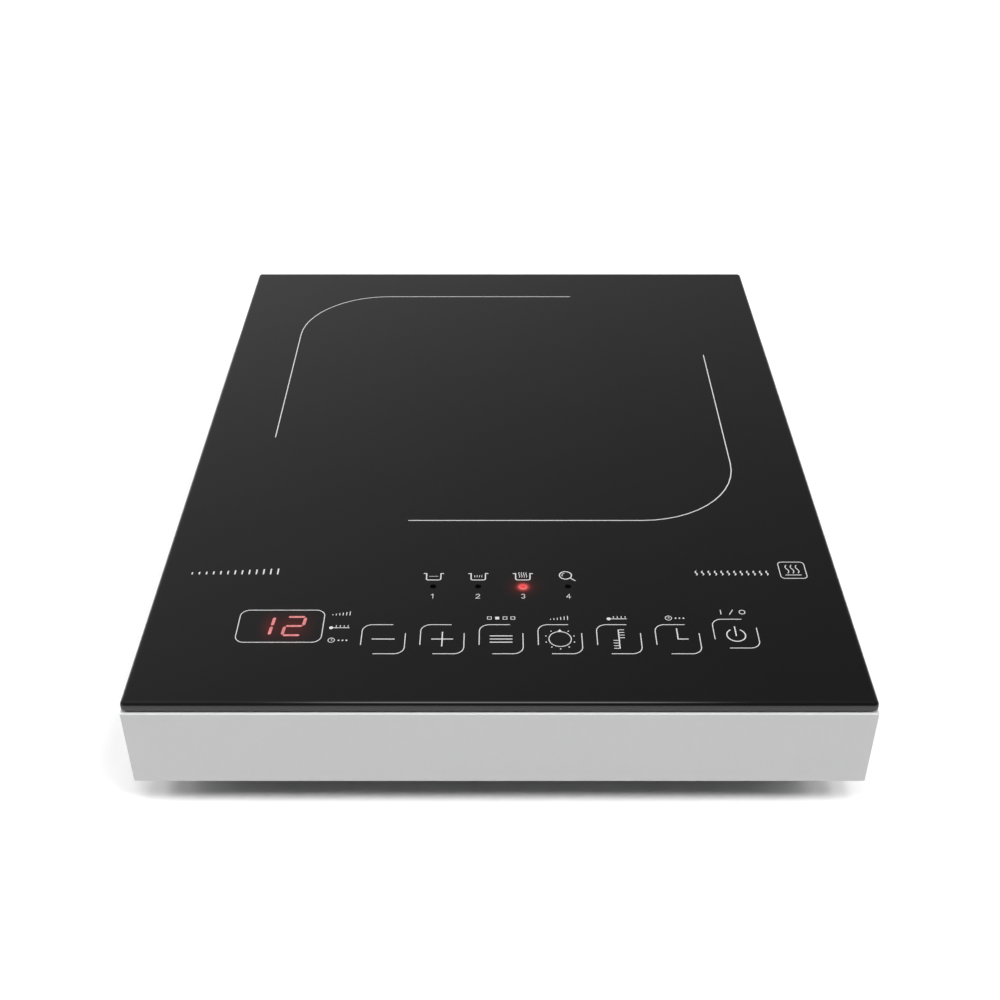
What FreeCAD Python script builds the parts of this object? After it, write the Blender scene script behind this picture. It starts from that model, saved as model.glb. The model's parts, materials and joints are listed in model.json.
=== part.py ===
"""Portable single-zone induction cooktop, one STEP file per physical piece.

Frame of the model: millimetres, +Z up, +X to the user's right, +Y to the rear.
The origin is on the worktop, under the middle of the appliance.
"""

import FreeCAD, Part
import math
import os
from FreeCAD import Placement, Rotation, Vector

# ---------------------------------------------------------------- overall sizes
WIDTH = 290.0
DEPTH = 370.0
HEIGHT = 60.0
CORNER_RADIUS = 1.6

# glass-ceramic plate and the silicone bead under it
GLASS_THICKNESS = 4.0
GLASS_EDGE_ROUND = 1.8
GLASS_CORNER = 2.1
GLASS_INSET = 0.4
GLASS_UNDER_BEVEL = 0.4
SEAL_THICKNESS = 0.7
SEAL_RECESS = 1.3
SEAL_WIDTH = 8.0

# mitred metal frame: web, top flange under the glass, lip that the base pan meets
FRAME_BOTTOM = 18.3
FRAME_WALL = 1.6
FLANGE_REACH = 14.0
LIP_REACH = 15.0
LIP_RISE = 2.0
EDGE_ROUND = 0.5
FRAME_CORNER = 0.7
MITRE_REACH = 20.0

# L-shaped keys in the corners of the frame, with the screws that hold the pan
KEY_LEG = 36.0
KEY_THICKNESS = 10.0
KEY_WALL = 3.5
KEY_FLOOR = 8.0
KEY_END_WALL = 1.5
BASE_SCREW_OFFSET = 6.5
BASE_SCREW_FROM_CORNER = 28.0
BASE_SCREW_REACH = 6.5

# moulded base pan
FOOT_HEIGHT = 5.0
PAN_FLOOR = 2.5
PAN_WALL = 2.3
PAN_BOTTOM_INSET = 22.0
PAN_TOP_INSET = 11.5
PAN_CORNER = 12.0
PAN_CORNER_GROWTH = 2.0
PAN_RIM_GAP = 0.3
SEAT_HALF = 12.0
SEAT_FRONT = 160.0
SEAT_HOLLOW_FRONT = 150.0
SEAT_MARGIN = 0.2
NOTCH_DROP = 3.0
POST_RADIUS = 4.0
POST_RIB = (11.0, 1.4, 4.0)
PILOT_DEPTH = 9.0

# rubber feet with push-in stems
FOOT_X = 98.0
FOOT_Y = 145.0
FOOT_RADIUS = 11.0
FOOT_STEM_RADIUS = 3.0
FOOT_GROOVE = (7.0, 5.5, 0.8)
FOOT_CHAMFER = 0.8
BARB_RADIUS = 4.2
BARB_HEIGHT = 3.0

# air slots: exhaust in the rear rail and the pan floor, intake under the fan
SLOT_WIDTH = 3.0
REAR_SLOT_COUNT = 27
REAR_SLOT_PITCH = 7.0
REAR_SLOT_MARGIN = 9.5
FLOOR_SLOT_COUNT = 13
FLOOR_SLOT_PITCH = 7.0
FLOOR_SLOT_LENGTH = 8.0
FLOOR_SLOT_Y = 155.0
INTAKE_RINGS = ((12, 11.0, 24.0), (24, 28.0, 42.0))

# cord entry: a gland in the rear wall of the pan and a saddle clamp behind it
CORD_X = -95.0
CORD_Z = 12.5
CORD_RADIUS = 3.75
GLAND_LENGTH = 15.0
GLAND_FRONT = 166.0
GLAND_WALL = (170.6, 173.2)
GLAND_FLANGE = 2.1
GLAND_HALF = 6.8
GLAND_NECK = 4.9
GLAND_NOSE = 5.4
GLAND_PLAY = 0.1
CLAMP_Y = 157.5
CLAMP_SIZE = (27.0, 7.0, 6.0)
CLAMP_BOTTOM = 12.0
CLAMP_EAR = 2.5
CLAMP_HOLE_X = 10.0

# cooking zone, coil and its former
ZONE_Y = 43.0
COIL_INNER_RADIUS = 25.0
COIL_TURNS = 20
COIL_PITCH = 3.15
COIL_WIRE_RADIUS = 1.45
COIL_END_HOLES = (25.4, 88.4)
FORMER_RADIUS = 92.0
FORMER_PLATE = 2.2
FORMER_WALL = 1.6
FORMER_TOP = 50.8
FORMER_HUB_RADIUS = 21.4
FORMER_WINDOW = (34.0, 84.0, 18.0)
EAR_CENTRE_RADIUS = 98.0
EAR_RADIUS = 6.0
EAR_DROP = 2.5
EAR_ANGLES = (30.0, 150.0, 270.0)
FERRITE_ANGLES = (30.0, 90.0, 150.0, 210.0, 270.0, 330.0)
FERRITE_SIZE = (58.0, 15.0, 5.0)
FERRITE_START = 27.0
FERRITE_PLAY = 0.2
POCKET_WALL = 1.5
POCKET_DEPTH = 3.0
MICA_BOTTOM = 54.3
MICA_THICKNESS = 0.5
MICA_HOLE = 12.0
SENSOR_RADIUS = 3.5
SENSOR_LEG_SPACING = 1.4
SENSOR_BOTTOM = 46.5

# fan, lying flat under the coil
FAN_SIDE = 92.0
FAN_THICKNESS = 15.0
FAN_BORE = 44.0
FAN_WALL = 1.6
FAN_FLANGE = 3.0
FAN_BLADES = 7
FAN_STRUT_ANGLES = (20, 110, 200, 290)
BLADE_TIP = 42.5
HUB_RADIUS = 17.0
HUB_WALL = 1.2
HUB_FLOOR = 1.5
HUB_LIFT = 0.7
FAN_BOSS = 3.0
FAN_HOLE_SPACING = 82.5
SHAFT_RADIUS = 1.5
BEARING_CLEARANCE = 0.05
BEARING_OUTER = 3.2
BEARING_LENGTH = 3.0
BEARING_TUBE = 4.2
MOTOR_BASE = 2.0
STATOR_RADIUS = 12.9

# hood that carries the air from the fan over the heatsink
DUCT_HALF = 49.0
DUCT_WALL = 1.5
DUCT_TOP = 39.5
DUCT_FRONT = -49.0
DUCT_REAR = 146.0
DUCT_TAB_X = 54.0
DUCT_TAB_Y = (-40.0, 50.0)
DUCT_TAB_LOW = 9.5
DUCT_FLOOR_GAP = 0.2

# power board with its heatsink
BOARD_THICKNESS = 1.6
BOARD_Z = 13.0
BOARD_HALF_WIDTH = 115.0
BOARD_FRONT = 62.0
BOARD_REAR = 150.0
BOARD_HOLES = ((-110, 67), (110, 67), (-110, 145), (110, 145), (-56, 145), (56, 145))
HEATSINK_HALF = 42.0
HEATSINK_FRONT = 66.0
HEATSINK_REAR = 140.0
HEATSINK_LIFT = 5.0
HEATSINK_BASE = 5.0
HEATSINK_FOOT = 6.0
FIN_COUNT = 13
FIN_THICKNESS = 1.3
FIN_CLEARANCE = 0.6
DEVICE_SCREW_X = 20.0
DEVICE_SCREW_Y = 104.0
DEVICE_THICKNESS = 3.2
CHOKE_PLACE = (-67.5, 129.0)
CHOKE_TURNS_PER_SIDE = 8
COIL_POST_X = (66.0, 84.0)
COIL_POST_Y = 71.0
COIL_POST_HEIGHT = 7.0
PLUG_HEIGHT = 6.5
SENSOR_PLUG = (-53.0, 65.0)
FAN_PLUG = (54.5, 65.0)
RIBBON_X = -67.0
RIBBON_WIDTH = 12.0
RIBBON_THICKNESS = 0.9

# control board under the front of the glass
CONTROL_HALF_WIDTH = 113.0
CONTROL_FRONT = -161.0
CONTROL_REAR = -97.0
CONTROL_Z = 46.4
CONTROL_POST_INSET = 5.0
BRACKET_Z = 41.0
BRACKET_FLOOR = 1.8
BRACKET_WALL = 1.5
KEY_ROW_Y = -147.7
KEY_FIRST_X = -46.75
KEY_PITCH = 23.7
KEY_ROW_COUNT = 6
POWER_KEY = (95.4, -144.3)
PAD_RADIUS = 4.0
DISPLAY_CENTRE = (-90.3, -139.7)
DISPLAY_SIZE = (26.5, 18.0)
DIGIT_PITCH = 12.7
DIGIT_HALF = (3.7, 5.6)
SEGMENT_WIDTH = 1.3
INDICATOR_Y = -114.2
INDICATOR_FIRST_X = -28.0
INDICATOR_PITCH = 18.95
INDICATOR_COUNT = 4
LED_RADIUS = 1.5

# pan-head screws used all over the inside, and the play of the holes they go through
SCREW_RADIUS = 1.5
SCREW_HEAD_RADIUS = 2.8
SCREW_HEAD_HEIGHT = 1.8
SCREW_PLAY = 0.08
SCREW_CLEARANCE = 0.2

# longest straight stretch that a bend of a wire or cable replaces
WIRE_BEND = 8.0

# overlap of cutting tools beyond the face they cut
OVER = 1.0

# heights that follow from the sizes above
GLASS_BOTTOM = HEIGHT - GLASS_THICKNESS
FRAME_TOP = GLASS_BOTTOM - SEAL_THICKNESS
LIP_BOTTOM = FRAME_BOTTOM + LIP_RISE
LIP_TOP = LIP_BOTTOM + FRAME_WALL
FLANGE_BOTTOM = FRAME_TOP - FRAME_WALL
FLOOR_TOP = FOOT_HEIGHT + PAN_FLOOR
BOARD_TOP = BOARD_Z + BOARD_THICKNESS
HEATSINK_LOW = BOARD_TOP + HEATSINK_LIFT
CONTROL_TOP = CONTROL_Z + BOARD_THICKNESS
FORMER_BOTTOM = FORMER_TOP - FORMER_PLATE
EAR_BOTTOM = FORMER_BOTTOM - EAR_DROP
COIL_Z = FORMER_TOP + COIL_WIRE_RADIUS + 0.05
FAN_BOTTOM = FLOOR_TOP + FAN_BOSS
FAN_TOP = FAN_BOTTOM + FAN_THICKNESS
HUB_BOTTOM = FAN_BOTTOM + HUB_LIFT

UP = Vector(0, 0, 1)
DOWN = Vector(0, 0, -1)
SIDES = (-1, 1)


# ---------------------------------------------------------------- basic shapes
def block(x0, x1, y0, y1, z0, z1):
    """A box between two corners."""
    return Part.makeBox(x1 - x0, y1 - y0, z1 - z0, Vector(x0, y0, z0))


def block_at(x, y, size_x, size_y, z0, z1):
    """A box centred on a point of the plan."""
    return block(x - size_x / 2, x + size_x / 2, y - size_y / 2, y + size_y / 2, z0, z1)


def rod(x, y, z0, z1, radius):
    """An upright cylinder."""
    return Part.makeCylinder(radius, z1 - z0, Vector(x, y, z0))


def tube(x, y, z0, z1, outer, inner):
    """An upright hollow cylinder."""
    return rod(x, y, z0, z1, outer).cut(rod(x, y, z0 - OVER, z1 + OVER, inner))


def rod_along_y(x, z, y0, y1, radius):
    """A cylinder lying along Y."""
    return Part.makeCylinder(radius, y1 - y0, Vector(x, y0, z), Vector(0, 1, 0))


def rounded_outline(half_x, half_y, z, radius, x=0.0, y=0.0):
    """A rectangle with round corners, as a closed wire at height z."""
    edges = []
    inner_x = half_x - radius
    inner_y = half_y - radius
    corners = ((inner_x, inner_y, 0), (-inner_x, inner_y, 90),
               (-inner_x, -inner_y, 180), (inner_x, -inner_y, 270))
    for index, (corner_x, corner_y, start) in enumerate(corners):
        centre = Vector(x + corner_x, y + corner_y, z)
        arc = Part.makeCircle(radius, centre, UP, start, start + 90)
        next_x, next_y, next_start = corners[(index + 1) % len(corners)]
        turn = math.radians(next_start)
        start_of_next = Vector(x + next_x + radius * math.cos(turn),
                               y + next_y + radius * math.sin(turn), z)
        edges.append(arc)
        edges.append(Part.makeLine(arc.Vertexes[-1].Point, start_of_next))
    return Part.Wire(edges)


def rounded_block(half_x, half_y, z0, z1, radius, x=0.0, y=0.0):
    """A block with round upright edges, centred on a point of the plan."""
    outline = rounded_outline(half_x, half_y, z0, radius, x, y)
    return Part.Face(outline).extrude(Vector(0, 0, z1 - z0))


def joined(shapes):
    """One solid from several that touch or overlap."""
    return shapes[0].multiFuse(list(shapes[1:])).removeSplitter()


def turned(shape, degrees, x=0.0, y=0.0):
    """A copy turned about an upright axis through a point of the plan."""
    copy = shape.copy()
    copy.rotate(Vector(x, y, 0), UP, degrees)
    return copy


def on_circle(radius, degrees, x=0.0, y=0.0):
    """A point of the plan on a circle."""
    angle = math.radians(degrees)
    return x + radius * math.cos(angle), y + radius * math.sin(angle)


def level_edges(shape, height, reach_x=-1.0, reach_y=-1.0):
    """Edges that lie flat at a height and outside a rectangle of the plan."""
    found = []
    for edge in shape.Edges:
        box = edge.BoundBox
        middle = edge.CenterOfMass
        level = abs(box.ZMin - height) < 1e-4 and abs(box.ZMax - height) < 1e-4
        if level and (abs(middle.x) > reach_x or abs(middle.y) > reach_y):
            found.append(edge)
    return found


def screw(x, y, seat, length, direction=UP):
    """A pan-head screw with a cross recess: the head rests on z = seat, the shank points along direction."""
    head = Part.makeCylinder(SCREW_HEAD_RADIUS, SCREW_HEAD_HEIGHT, Vector(0, 0, -SCREW_HEAD_HEIGHT))
    head = head.makeFillet(SCREW_HEAD_HEIGHT * 0.4, level_edges(head, -SCREW_HEAD_HEIGHT))
    recess_length = SCREW_HEAD_RADIUS * 1.15
    recess_width = SCREW_HEAD_RADIUS * 0.3
    recess_floor = -SCREW_HEAD_HEIGHT * 0.45
    for across in (0, 90):
        recess = block_at(0, 0, recess_length, recess_width, -SCREW_HEAD_HEIGHT - OVER, recess_floor)
        head = head.cut(turned(recess, across))
    shank = Part.makeCylinder(SCREW_RADIUS, length)
    shank = shank.makeChamfer(SCREW_RADIUS * 0.4, level_edges(shank, length))
    shape = head.fuse(shank)
    shape.Placement = Placement(Vector(x, y, seat), Rotation(UP, direction))
    return shape


def pilot(x, y, z0, z1):
    """The hole that a screw cuts its thread into."""
    return rod(x, y, z0, z1, SCREW_RADIUS + SCREW_PLAY)


def clearance(x, y, z0, z1):
    """A hole that a screw passes through freely."""
    return rod(x, y, z0, z1, SCREW_RADIUS + SCREW_CLEARANCE)


def route(points):
    """Straight runs joined by tangent arcs, as large as the runs and WIRE_BEND allow."""
    points = [Vector(*point) for point in points]
    edges = []
    start = points[0]
    for before, corner, after in zip(points, points[1:], points[2:]):
        back = (before - corner).normalize()
        ahead = (after - corner).normalize()
        turn = math.pi - back.getAngle(ahead)
        shorter = min((before - corner).Length, (after - corner).Length)
        setback = min(0.45 * shorter, WIRE_BEND)
        radius = setback / math.tan(turn / 2)
        arc_start = corner + back * setback
        arc_end = corner + ahead * setback
        to_centre = (back + ahead).normalize()
        centre = corner + to_centre * (radius / math.cos(turn / 2))
        middle = centre - to_centre * radius
        edges.append(Part.makeLine(start, arc_start))
        edges.append(Part.Arc(arc_start, middle, arc_end).toShape())
        start = arc_end
    edges.append(Part.makeLine(start, points[-1]))
    return Part.Wire(edges)


def wire_along(points, radius):
    """A round wire along a route, with its volume compared with section times length."""
    path = route(points)
    first = path.Edges[0]
    direction = first.tangentAt(first.FirstParameter)
    outline = Part.Wire(Part.makeCircle(radius, Vector(*points[0]), direction))
    swept = path.makePipeShell([outline], True, False)
    expected = math.pi * radius ** 2 * path.Length
    if abs(swept.Volume / expected - 1) > 0.01:
        print("wire volume is off:", swept.Volume, expected)
    return swept


def save(name, shapes):
    """Writes one piece, or a group of separate solids, and prints what is wrong with it."""
    solids = []
    for shape in shapes if isinstance(shapes, (list, tuple)) else [shapes]:
        solids.extend(shape.Solids)
    for solid in solids:
        if not solid.isValid() or not solid.isClosed() or solid.Volume <= 0:
            print("BAD SOLID in", name)
    result = solids[0] if len(solids) == 1 else Part.makeCompound(solids)
    result.exportStep(os.path.join("parts", name + ".step"))
    print(f"{name}: {len(solids)} solid(s), {result.Volume:.0f} mm3")


# ---------------------------------------------------------------- places shared by several pieces
def corner_places(half_x, half_y):
    return [(side_x * half_x, side_y * half_y) for side_x in SIDES for side_y in SIDES]


def base_screw_places():
    """Two screws to each corner key, one on either side of the mitre."""
    along_x = WIDTH / 2 - BASE_SCREW_FROM_CORNER
    along_y = DEPTH / 2 - BASE_SCREW_FROM_CORNER
    near_x = WIDTH / 2 - BASE_SCREW_OFFSET
    near_y = DEPTH / 2 - BASE_SCREW_OFFSET
    return corner_places(along_x, near_y) + corner_places(near_x, along_y)


def coil_post_places():
    return [on_circle(EAR_CENTRE_RADIUS, angle, 0, ZONE_Y) for angle in EAR_ANGLES]


def control_post_places():
    x = CONTROL_HALF_WIDTH - CONTROL_POST_INSET
    return [(side * x, y) for side in SIDES
            for y in (CONTROL_FRONT + CONTROL_POST_INSET, CONTROL_REAR - CONTROL_POST_INSET)]


def fan_hole_places():
    return corner_places(FAN_HOLE_SPACING / 2, FAN_HOLE_SPACING / 2)


def duct_tab_places():
    return [(side * DUCT_TAB_X, y) for side in SIDES for y in DUCT_TAB_Y]


def clamp_hole_places():
    return [(CORD_X + side * CLAMP_HOLE_X, CLAMP_Y) for side in SIDES]


def device_screw_places():
    return [(side * DEVICE_SCREW_X, DEVICE_SCREW_Y) for side in SIDES]


def foot_places():
    return {
        "foot_front_left": (-FOOT_X, -FOOT_Y),
        "foot_front_right": (FOOT_X, -FOOT_Y),
        "foot_rear_left": (-FOOT_X, FOOT_Y),
        "foot_rear_right": (FOOT_X, FOOT_Y),
    }


def touch_key_places():
    places = [(KEY_FIRST_X + index * KEY_PITCH, KEY_ROW_Y) for index in range(KEY_ROW_COUNT)]
    return places + [POWER_KEY]


# ---------------------------------------------------------------- glass and frame
def make_glass():
    half_x = WIDTH / 2 - GLASS_INSET
    half_y = DEPTH / 2 - GLASS_INSET
    plate = rounded_block(half_x, half_y, GLASS_BOTTOM, HEIGHT, GLASS_CORNER)
    plate = plate.makeFillet(GLASS_EDGE_ROUND, level_edges(plate, HEIGHT))
    plate = plate.makeChamfer(GLASS_UNDER_BEVEL, level_edges(plate, GLASS_BOTTOM))
    save("glass_top", plate)


def make_seal():
    """A bead between the glass and the flange, set back from the edge."""
    half_x = WIDTH / 2 - SEAL_RECESS
    half_y = DEPTH / 2 - SEAL_RECESS
    outer = rounded_block(half_x, half_y, FRAME_TOP, GLASS_BOTTOM, CORNER_RADIUS)
    inner = rounded_block(half_x - SEAL_WIDTH, half_y - SEAL_WIDTH,
                          FRAME_TOP - OVER, GLASS_BOTTOM + OVER, CORNER_RADIUS)
    save("glass_seal", outer.cut(inner))


def rear_slots():
    """Upright slots with round ends through the rear rail, in line with the air duct."""
    low = FRAME_BOTTOM + REAR_SLOT_MARGIN
    high = FRAME_TOP - REAR_SLOT_MARGIN
    inside = DEPTH / 2 - FRAME_WALL - OVER
    outside = DEPTH / 2 + OVER
    tools = []
    for index in range(REAR_SLOT_COUNT):
        x = (index - (REAR_SLOT_COUNT - 1) / 2) * REAR_SLOT_PITCH
        tools.append(block_at(x, (inside + outside) / 2, SLOT_WIDTH, outside - inside, low, high))
        for z in (low, high):
            tools.append(rod_along_y(x, z, inside, outside, SLOT_WIDTH / 2))
    return tools


def frame_ring():
    """The closed ring of the rail section, with its screw holes and exhaust slots."""
    half_x = WIDTH / 2
    half_y = DEPTH / 2
    inner_x = half_x - FRAME_WALL
    inner_y = half_y - FRAME_WALL
    ring = rounded_block(half_x, half_y, FRAME_BOTTOM, FRAME_TOP, FRAME_CORNER)
    ring = ring.cut([
        block(-inner_x, inner_x, -inner_y, inner_y, LIP_TOP, FLANGE_BOTTOM),
        block(-inner_x, inner_x, -inner_y, inner_y, FRAME_BOTTOM - OVER, LIP_BOTTOM),
        block_at(0, 0, WIDTH - 2 * FLANGE_REACH, DEPTH - 2 * FLANGE_REACH,
                 FLANGE_BOTTOM - OVER, FRAME_TOP + OVER),
        block_at(0, 0, WIDTH - 2 * LIP_REACH, DEPTH - 2 * LIP_REACH, LIP_BOTTOM - OVER, LIP_TOP + OVER),
    ])
    for height in (FRAME_TOP, FRAME_BOTTOM):
        outer_edges = level_edges(ring, height, inner_x + FRAME_WALL / 2, inner_y + FRAME_WALL / 2)
        ring = ring.makeFillet(EDGE_ROUND, outer_edges)
    ring = ring.cut([pilot(x, y, LIP_BOTTOM - OVER, LIP_TOP + OVER) for x, y in base_screw_places()])
    return ring.cut(rear_slots())


def make_frame():
    """Four rails, parted from the ring along its mitres."""
    ring = frame_ring()
    long_x, long_y = WIDTH / 2 + OVER, DEPTH / 2 + OVER
    short_x, short_y = WIDTH / 2 - MITRE_REACH, DEPTH / 2 - MITRE_REACH
    mitres = {
        "front_rail": ((-long_x, -long_y), (long_x, -long_y), (short_x, -short_y), (-short_x, -short_y)),
        "rear_rail": ((-long_x, long_y), (long_x, long_y), (short_x, short_y), (-short_x, short_y)),
        "left_rail": ((-long_x, -long_y), (-long_x, long_y), (-short_x, short_y), (-short_x, -short_y)),
        "right_rail": ((long_x, -long_y), (long_x, long_y), (short_x, short_y), (short_x, -short_y)),
    }
    for name, corners in mitres.items():
        loop = [Vector(x, y, FRAME_BOTTOM - OVER) for x, y in corners]
        wedge = Part.Face(Part.makePolygon(loop + loop[:1])).extrude(Vector(0, 0, HEIGHT))
        save(name, ring.common(wedge))


def make_corner_keys():
    """Keys in the rails' channel: each joins two rails and takes two base screws."""
    outer_x = WIDTH / 2 - FRAME_WALL
    outer_y = DEPTH / 2 - FRAME_WALL
    inner_x = outer_x - KEY_THICKNESS
    inner_y = outer_y - KEY_THICKNESS
    key = joined([
        block(outer_x - KEY_LEG, outer_x, inner_y, outer_y, LIP_TOP, FLANGE_BOTTOM),
        block(inner_x, outer_x, outer_y - KEY_LEG, outer_y, LIP_TOP, FLANGE_BOTTOM),
    ])
    recess_floor = LIP_TOP + KEY_FLOOR
    key = key.cut([
        block(inner_x - KEY_THICKNESS, inner_x - KEY_END_WALL, inner_y - OVER, outer_y - KEY_WALL,
              recess_floor, HEIGHT),
        block(inner_x - OVER, outer_x - KEY_WALL, inner_y - KEY_THICKNESS, inner_y - KEY_END_WALL,
              recess_floor, HEIGHT),
    ])
    along_x = Vector(1, 0, 0)
    along_y = Vector(0, 1, 0)
    origin = Vector(0, 0, 0)
    right_pair = [key, key.mirror(origin, along_y)]
    keys = right_pair + [piece.mirror(origin, along_x) for piece in right_pair]
    holes = [pilot(x, y, LIP_TOP - OVER, LIP_TOP + BASE_SCREW_REACH + OVER)
             for x, y in base_screw_places()]
    save("corner_keys", [piece.cut(holes) for piece in keys])


# ---------------------------------------------------------------- base pan
def intake_slots():
    """Rings of radial slots with round ends under the fan."""
    low = FOOT_HEIGHT - OVER
    high = FLOOR_TOP + OVER
    tools = []
    for count, inner, outer in INTAKE_RINGS:
        middle = (inner + outer) / 2
        length = outer - inner - SLOT_WIDTH
        ends = [rod(middle + side * length / 2, 0, low, high, SLOT_WIDTH / 2) for side in SIDES]
        slot = joined([block_at(middle, 0, length, SLOT_WIDTH, low, high)] + ends)
        tools.extend(turned(slot, index * 360.0 / count) for index in range(count))
    return tools


def floor_slots():
    """A row of slots in the floor behind the duct's mouth."""
    tools = []
    for index in range(FLOOR_SLOT_COUNT):
        x = (index - (FLOOR_SLOT_COUNT - 1) / 2) * FLOOR_SLOT_PITCH
        tools.append(block_at(x, FLOOR_SLOT_Y, SLOT_WIDTH, FLOOR_SLOT_LENGTH,
                              FOOT_HEIGHT - OVER, FLOOR_TOP + OVER))
    return tools


def pan_shell():
    """The tray itself: sloping walls, a rim under the frame's lip and a flat seat for the gland."""
    bottom_x = WIDTH / 2 - PAN_BOTTOM_INSET
    bottom_y = DEPTH / 2 - PAN_BOTTOM_INSET
    spread = PAN_BOTTOM_INSET - PAN_TOP_INSET
    slope = spread / (FRAME_BOTTOM - FOOT_HEIGHT)
    outside = Part.makeLoft([
        rounded_outline(bottom_x, bottom_y, FOOT_HEIGHT, PAN_CORNER),
        rounded_outline(bottom_x + spread, bottom_y + spread, FRAME_BOTTOM, PAN_CORNER + PAN_CORNER_GROWTH),
    ], True, True)
    rim_x = WIDTH / 2 - FRAME_WALL - PAN_RIM_GAP
    rim_y = DEPTH / 2 - FRAME_WALL - PAN_RIM_GAP
    rim = rounded_block(rim_x, rim_y, FRAME_BOTTOM, LIP_BOTTOM, CORNER_RADIUS)
    seat = block(CORD_X - SEAT_HALF, CORD_X + SEAT_HALF, SEAT_FRONT, GLAND_WALL[1] - SEAT_MARGIN,
                 FOOT_HEIGHT, LIP_BOTTOM)
    floor_x = bottom_x - PAN_WALL + slope * PAN_FLOOR
    floor_y = bottom_y - PAN_WALL + slope * PAN_FLOOR
    mouth = LIP_BOTTOM + SEAT_MARGIN
    grown = slope * (mouth - FLOOR_TOP)
    inside = Part.makeLoft([
        rounded_outline(floor_x, floor_y, FLOOR_TOP, PAN_CORNER - PAN_CORNER_GROWTH),
        rounded_outline(floor_x + grown, floor_y + grown, mouth, PAN_CORNER),
    ], True, True)
    seat_inside = block(CORD_X - SEAT_HALF + PAN_WALL, CORD_X + SEAT_HALF - PAN_WALL,
                        SEAT_HOLLOW_FRONT, GLAND_WALL[0] + SEAT_MARGIN, FLOOR_TOP, LIP_BOTTOM + OVER)
    return joined([outside, rim, seat]).cut([inside, seat_inside])


def pan_posts():
    """Posts and bosses that carry the inner assemblies, as two lists: solids and their pilot holes."""
    solids = []
    holes = []
    rib_length, rib_width, rib_height = POST_RIB
    for x, y in coil_post_places():
        for angle in (0, 90):
            rib = block_at(x, y, rib_length, rib_width, FLOOR_TOP, FLOOR_TOP + rib_height)
            solids.append(turned(rib, angle, x, y))
    for places, top in (
        (coil_post_places(), EAR_BOTTOM),
        (control_post_places(), BRACKET_Z),
        (BOARD_HOLES, BOARD_Z),
        (fan_hole_places(), FAN_BOTTOM),
        (clamp_hole_places(), CLAMP_BOTTOM),
        (duct_tab_places(), DUCT_TAB_LOW),
    ):
        for x, y in places:
            depth = min(PILOT_DEPTH, top - FLOOR_TOP + PAN_FLOOR * 0.6)
            radius = POST_RADIUS if places is not BOARD_HOLES else POST_RADIUS - 0.5
            solids.append(rod(x, y, FLOOR_TOP, top, radius))
            holes.append(pilot(x, y, top - depth, top + OVER))
    return solids, holes


def gland_notch():
    """The slot in the rear wall that the gland drops into, and the space above its outer flange."""
    middle_y = sum(GLAND_WALL) / 2
    through = block_at(CORD_X, middle_y, 2 * (GLAND_NECK + GLAND_PLAY), 10, FLOOR_TOP, LIP_BOTTOM + OVER)
    over_flange = block(CORD_X - GLAND_HALF - SEAT_MARGIN, CORD_X + GLAND_HALF + SEAT_MARGIN,
                        GLAND_WALL[1] - SEAT_MARGIN,
                        DEPTH / 2 + OVER, FRAME_BOTTOM - NOTCH_DROP, LIP_BOTTOM + OVER)
    return [through, over_flange]


def make_base_pan():
    solids, holes = pan_posts()
    pan = joined([pan_shell()] + solids)
    holes.extend(intake_slots())
    holes.extend(floor_slots())
    holes.extend(gland_notch())
    for x, y in foot_places().values():
        holes.append(rod(x, y, FOOT_HEIGHT - OVER, FLOOR_TOP + OVER, FOOT_STEM_RADIUS))
    for x, y in base_screw_places():
        holes.append(pilot(x, y, FRAME_BOTTOM - OVER, LIP_BOTTOM + OVER))
    save("base_pan", pan.cut(holes))


def make_feet():
    """Rubber feet, each held by a stem with a barb pushed through the floor."""
    groove_outer, groove_inner, groove_depth = FOOT_GROOVE
    for name, (x, y) in foot_places().items():
        pad = rod(x, y, 0, FOOT_HEIGHT, FOOT_RADIUS)
        pad = pad.makeChamfer(FOOT_CHAMFER, level_edges(pad, 0))
        stem = rod(x, y, FOOT_HEIGHT, FLOOR_TOP, FOOT_STEM_RADIUS)
        barb = Part.makeCone(BARB_RADIUS, FOOT_STEM_RADIUS - 0.4, BARB_HEIGHT, Vector(x, y, FLOOR_TOP))
        groove = tube(x, y, -OVER, groove_depth, groove_outer, groove_inner)
        save(name, joined([pad, stem, barb]).cut(groove))


def make_base_screws():
    length = LIP_TOP - FRAME_BOTTOM + BASE_SCREW_REACH
    save("base_screws", [screw(x, y, FRAME_BOTTOM, length) for x, y in base_screw_places()])


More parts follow.
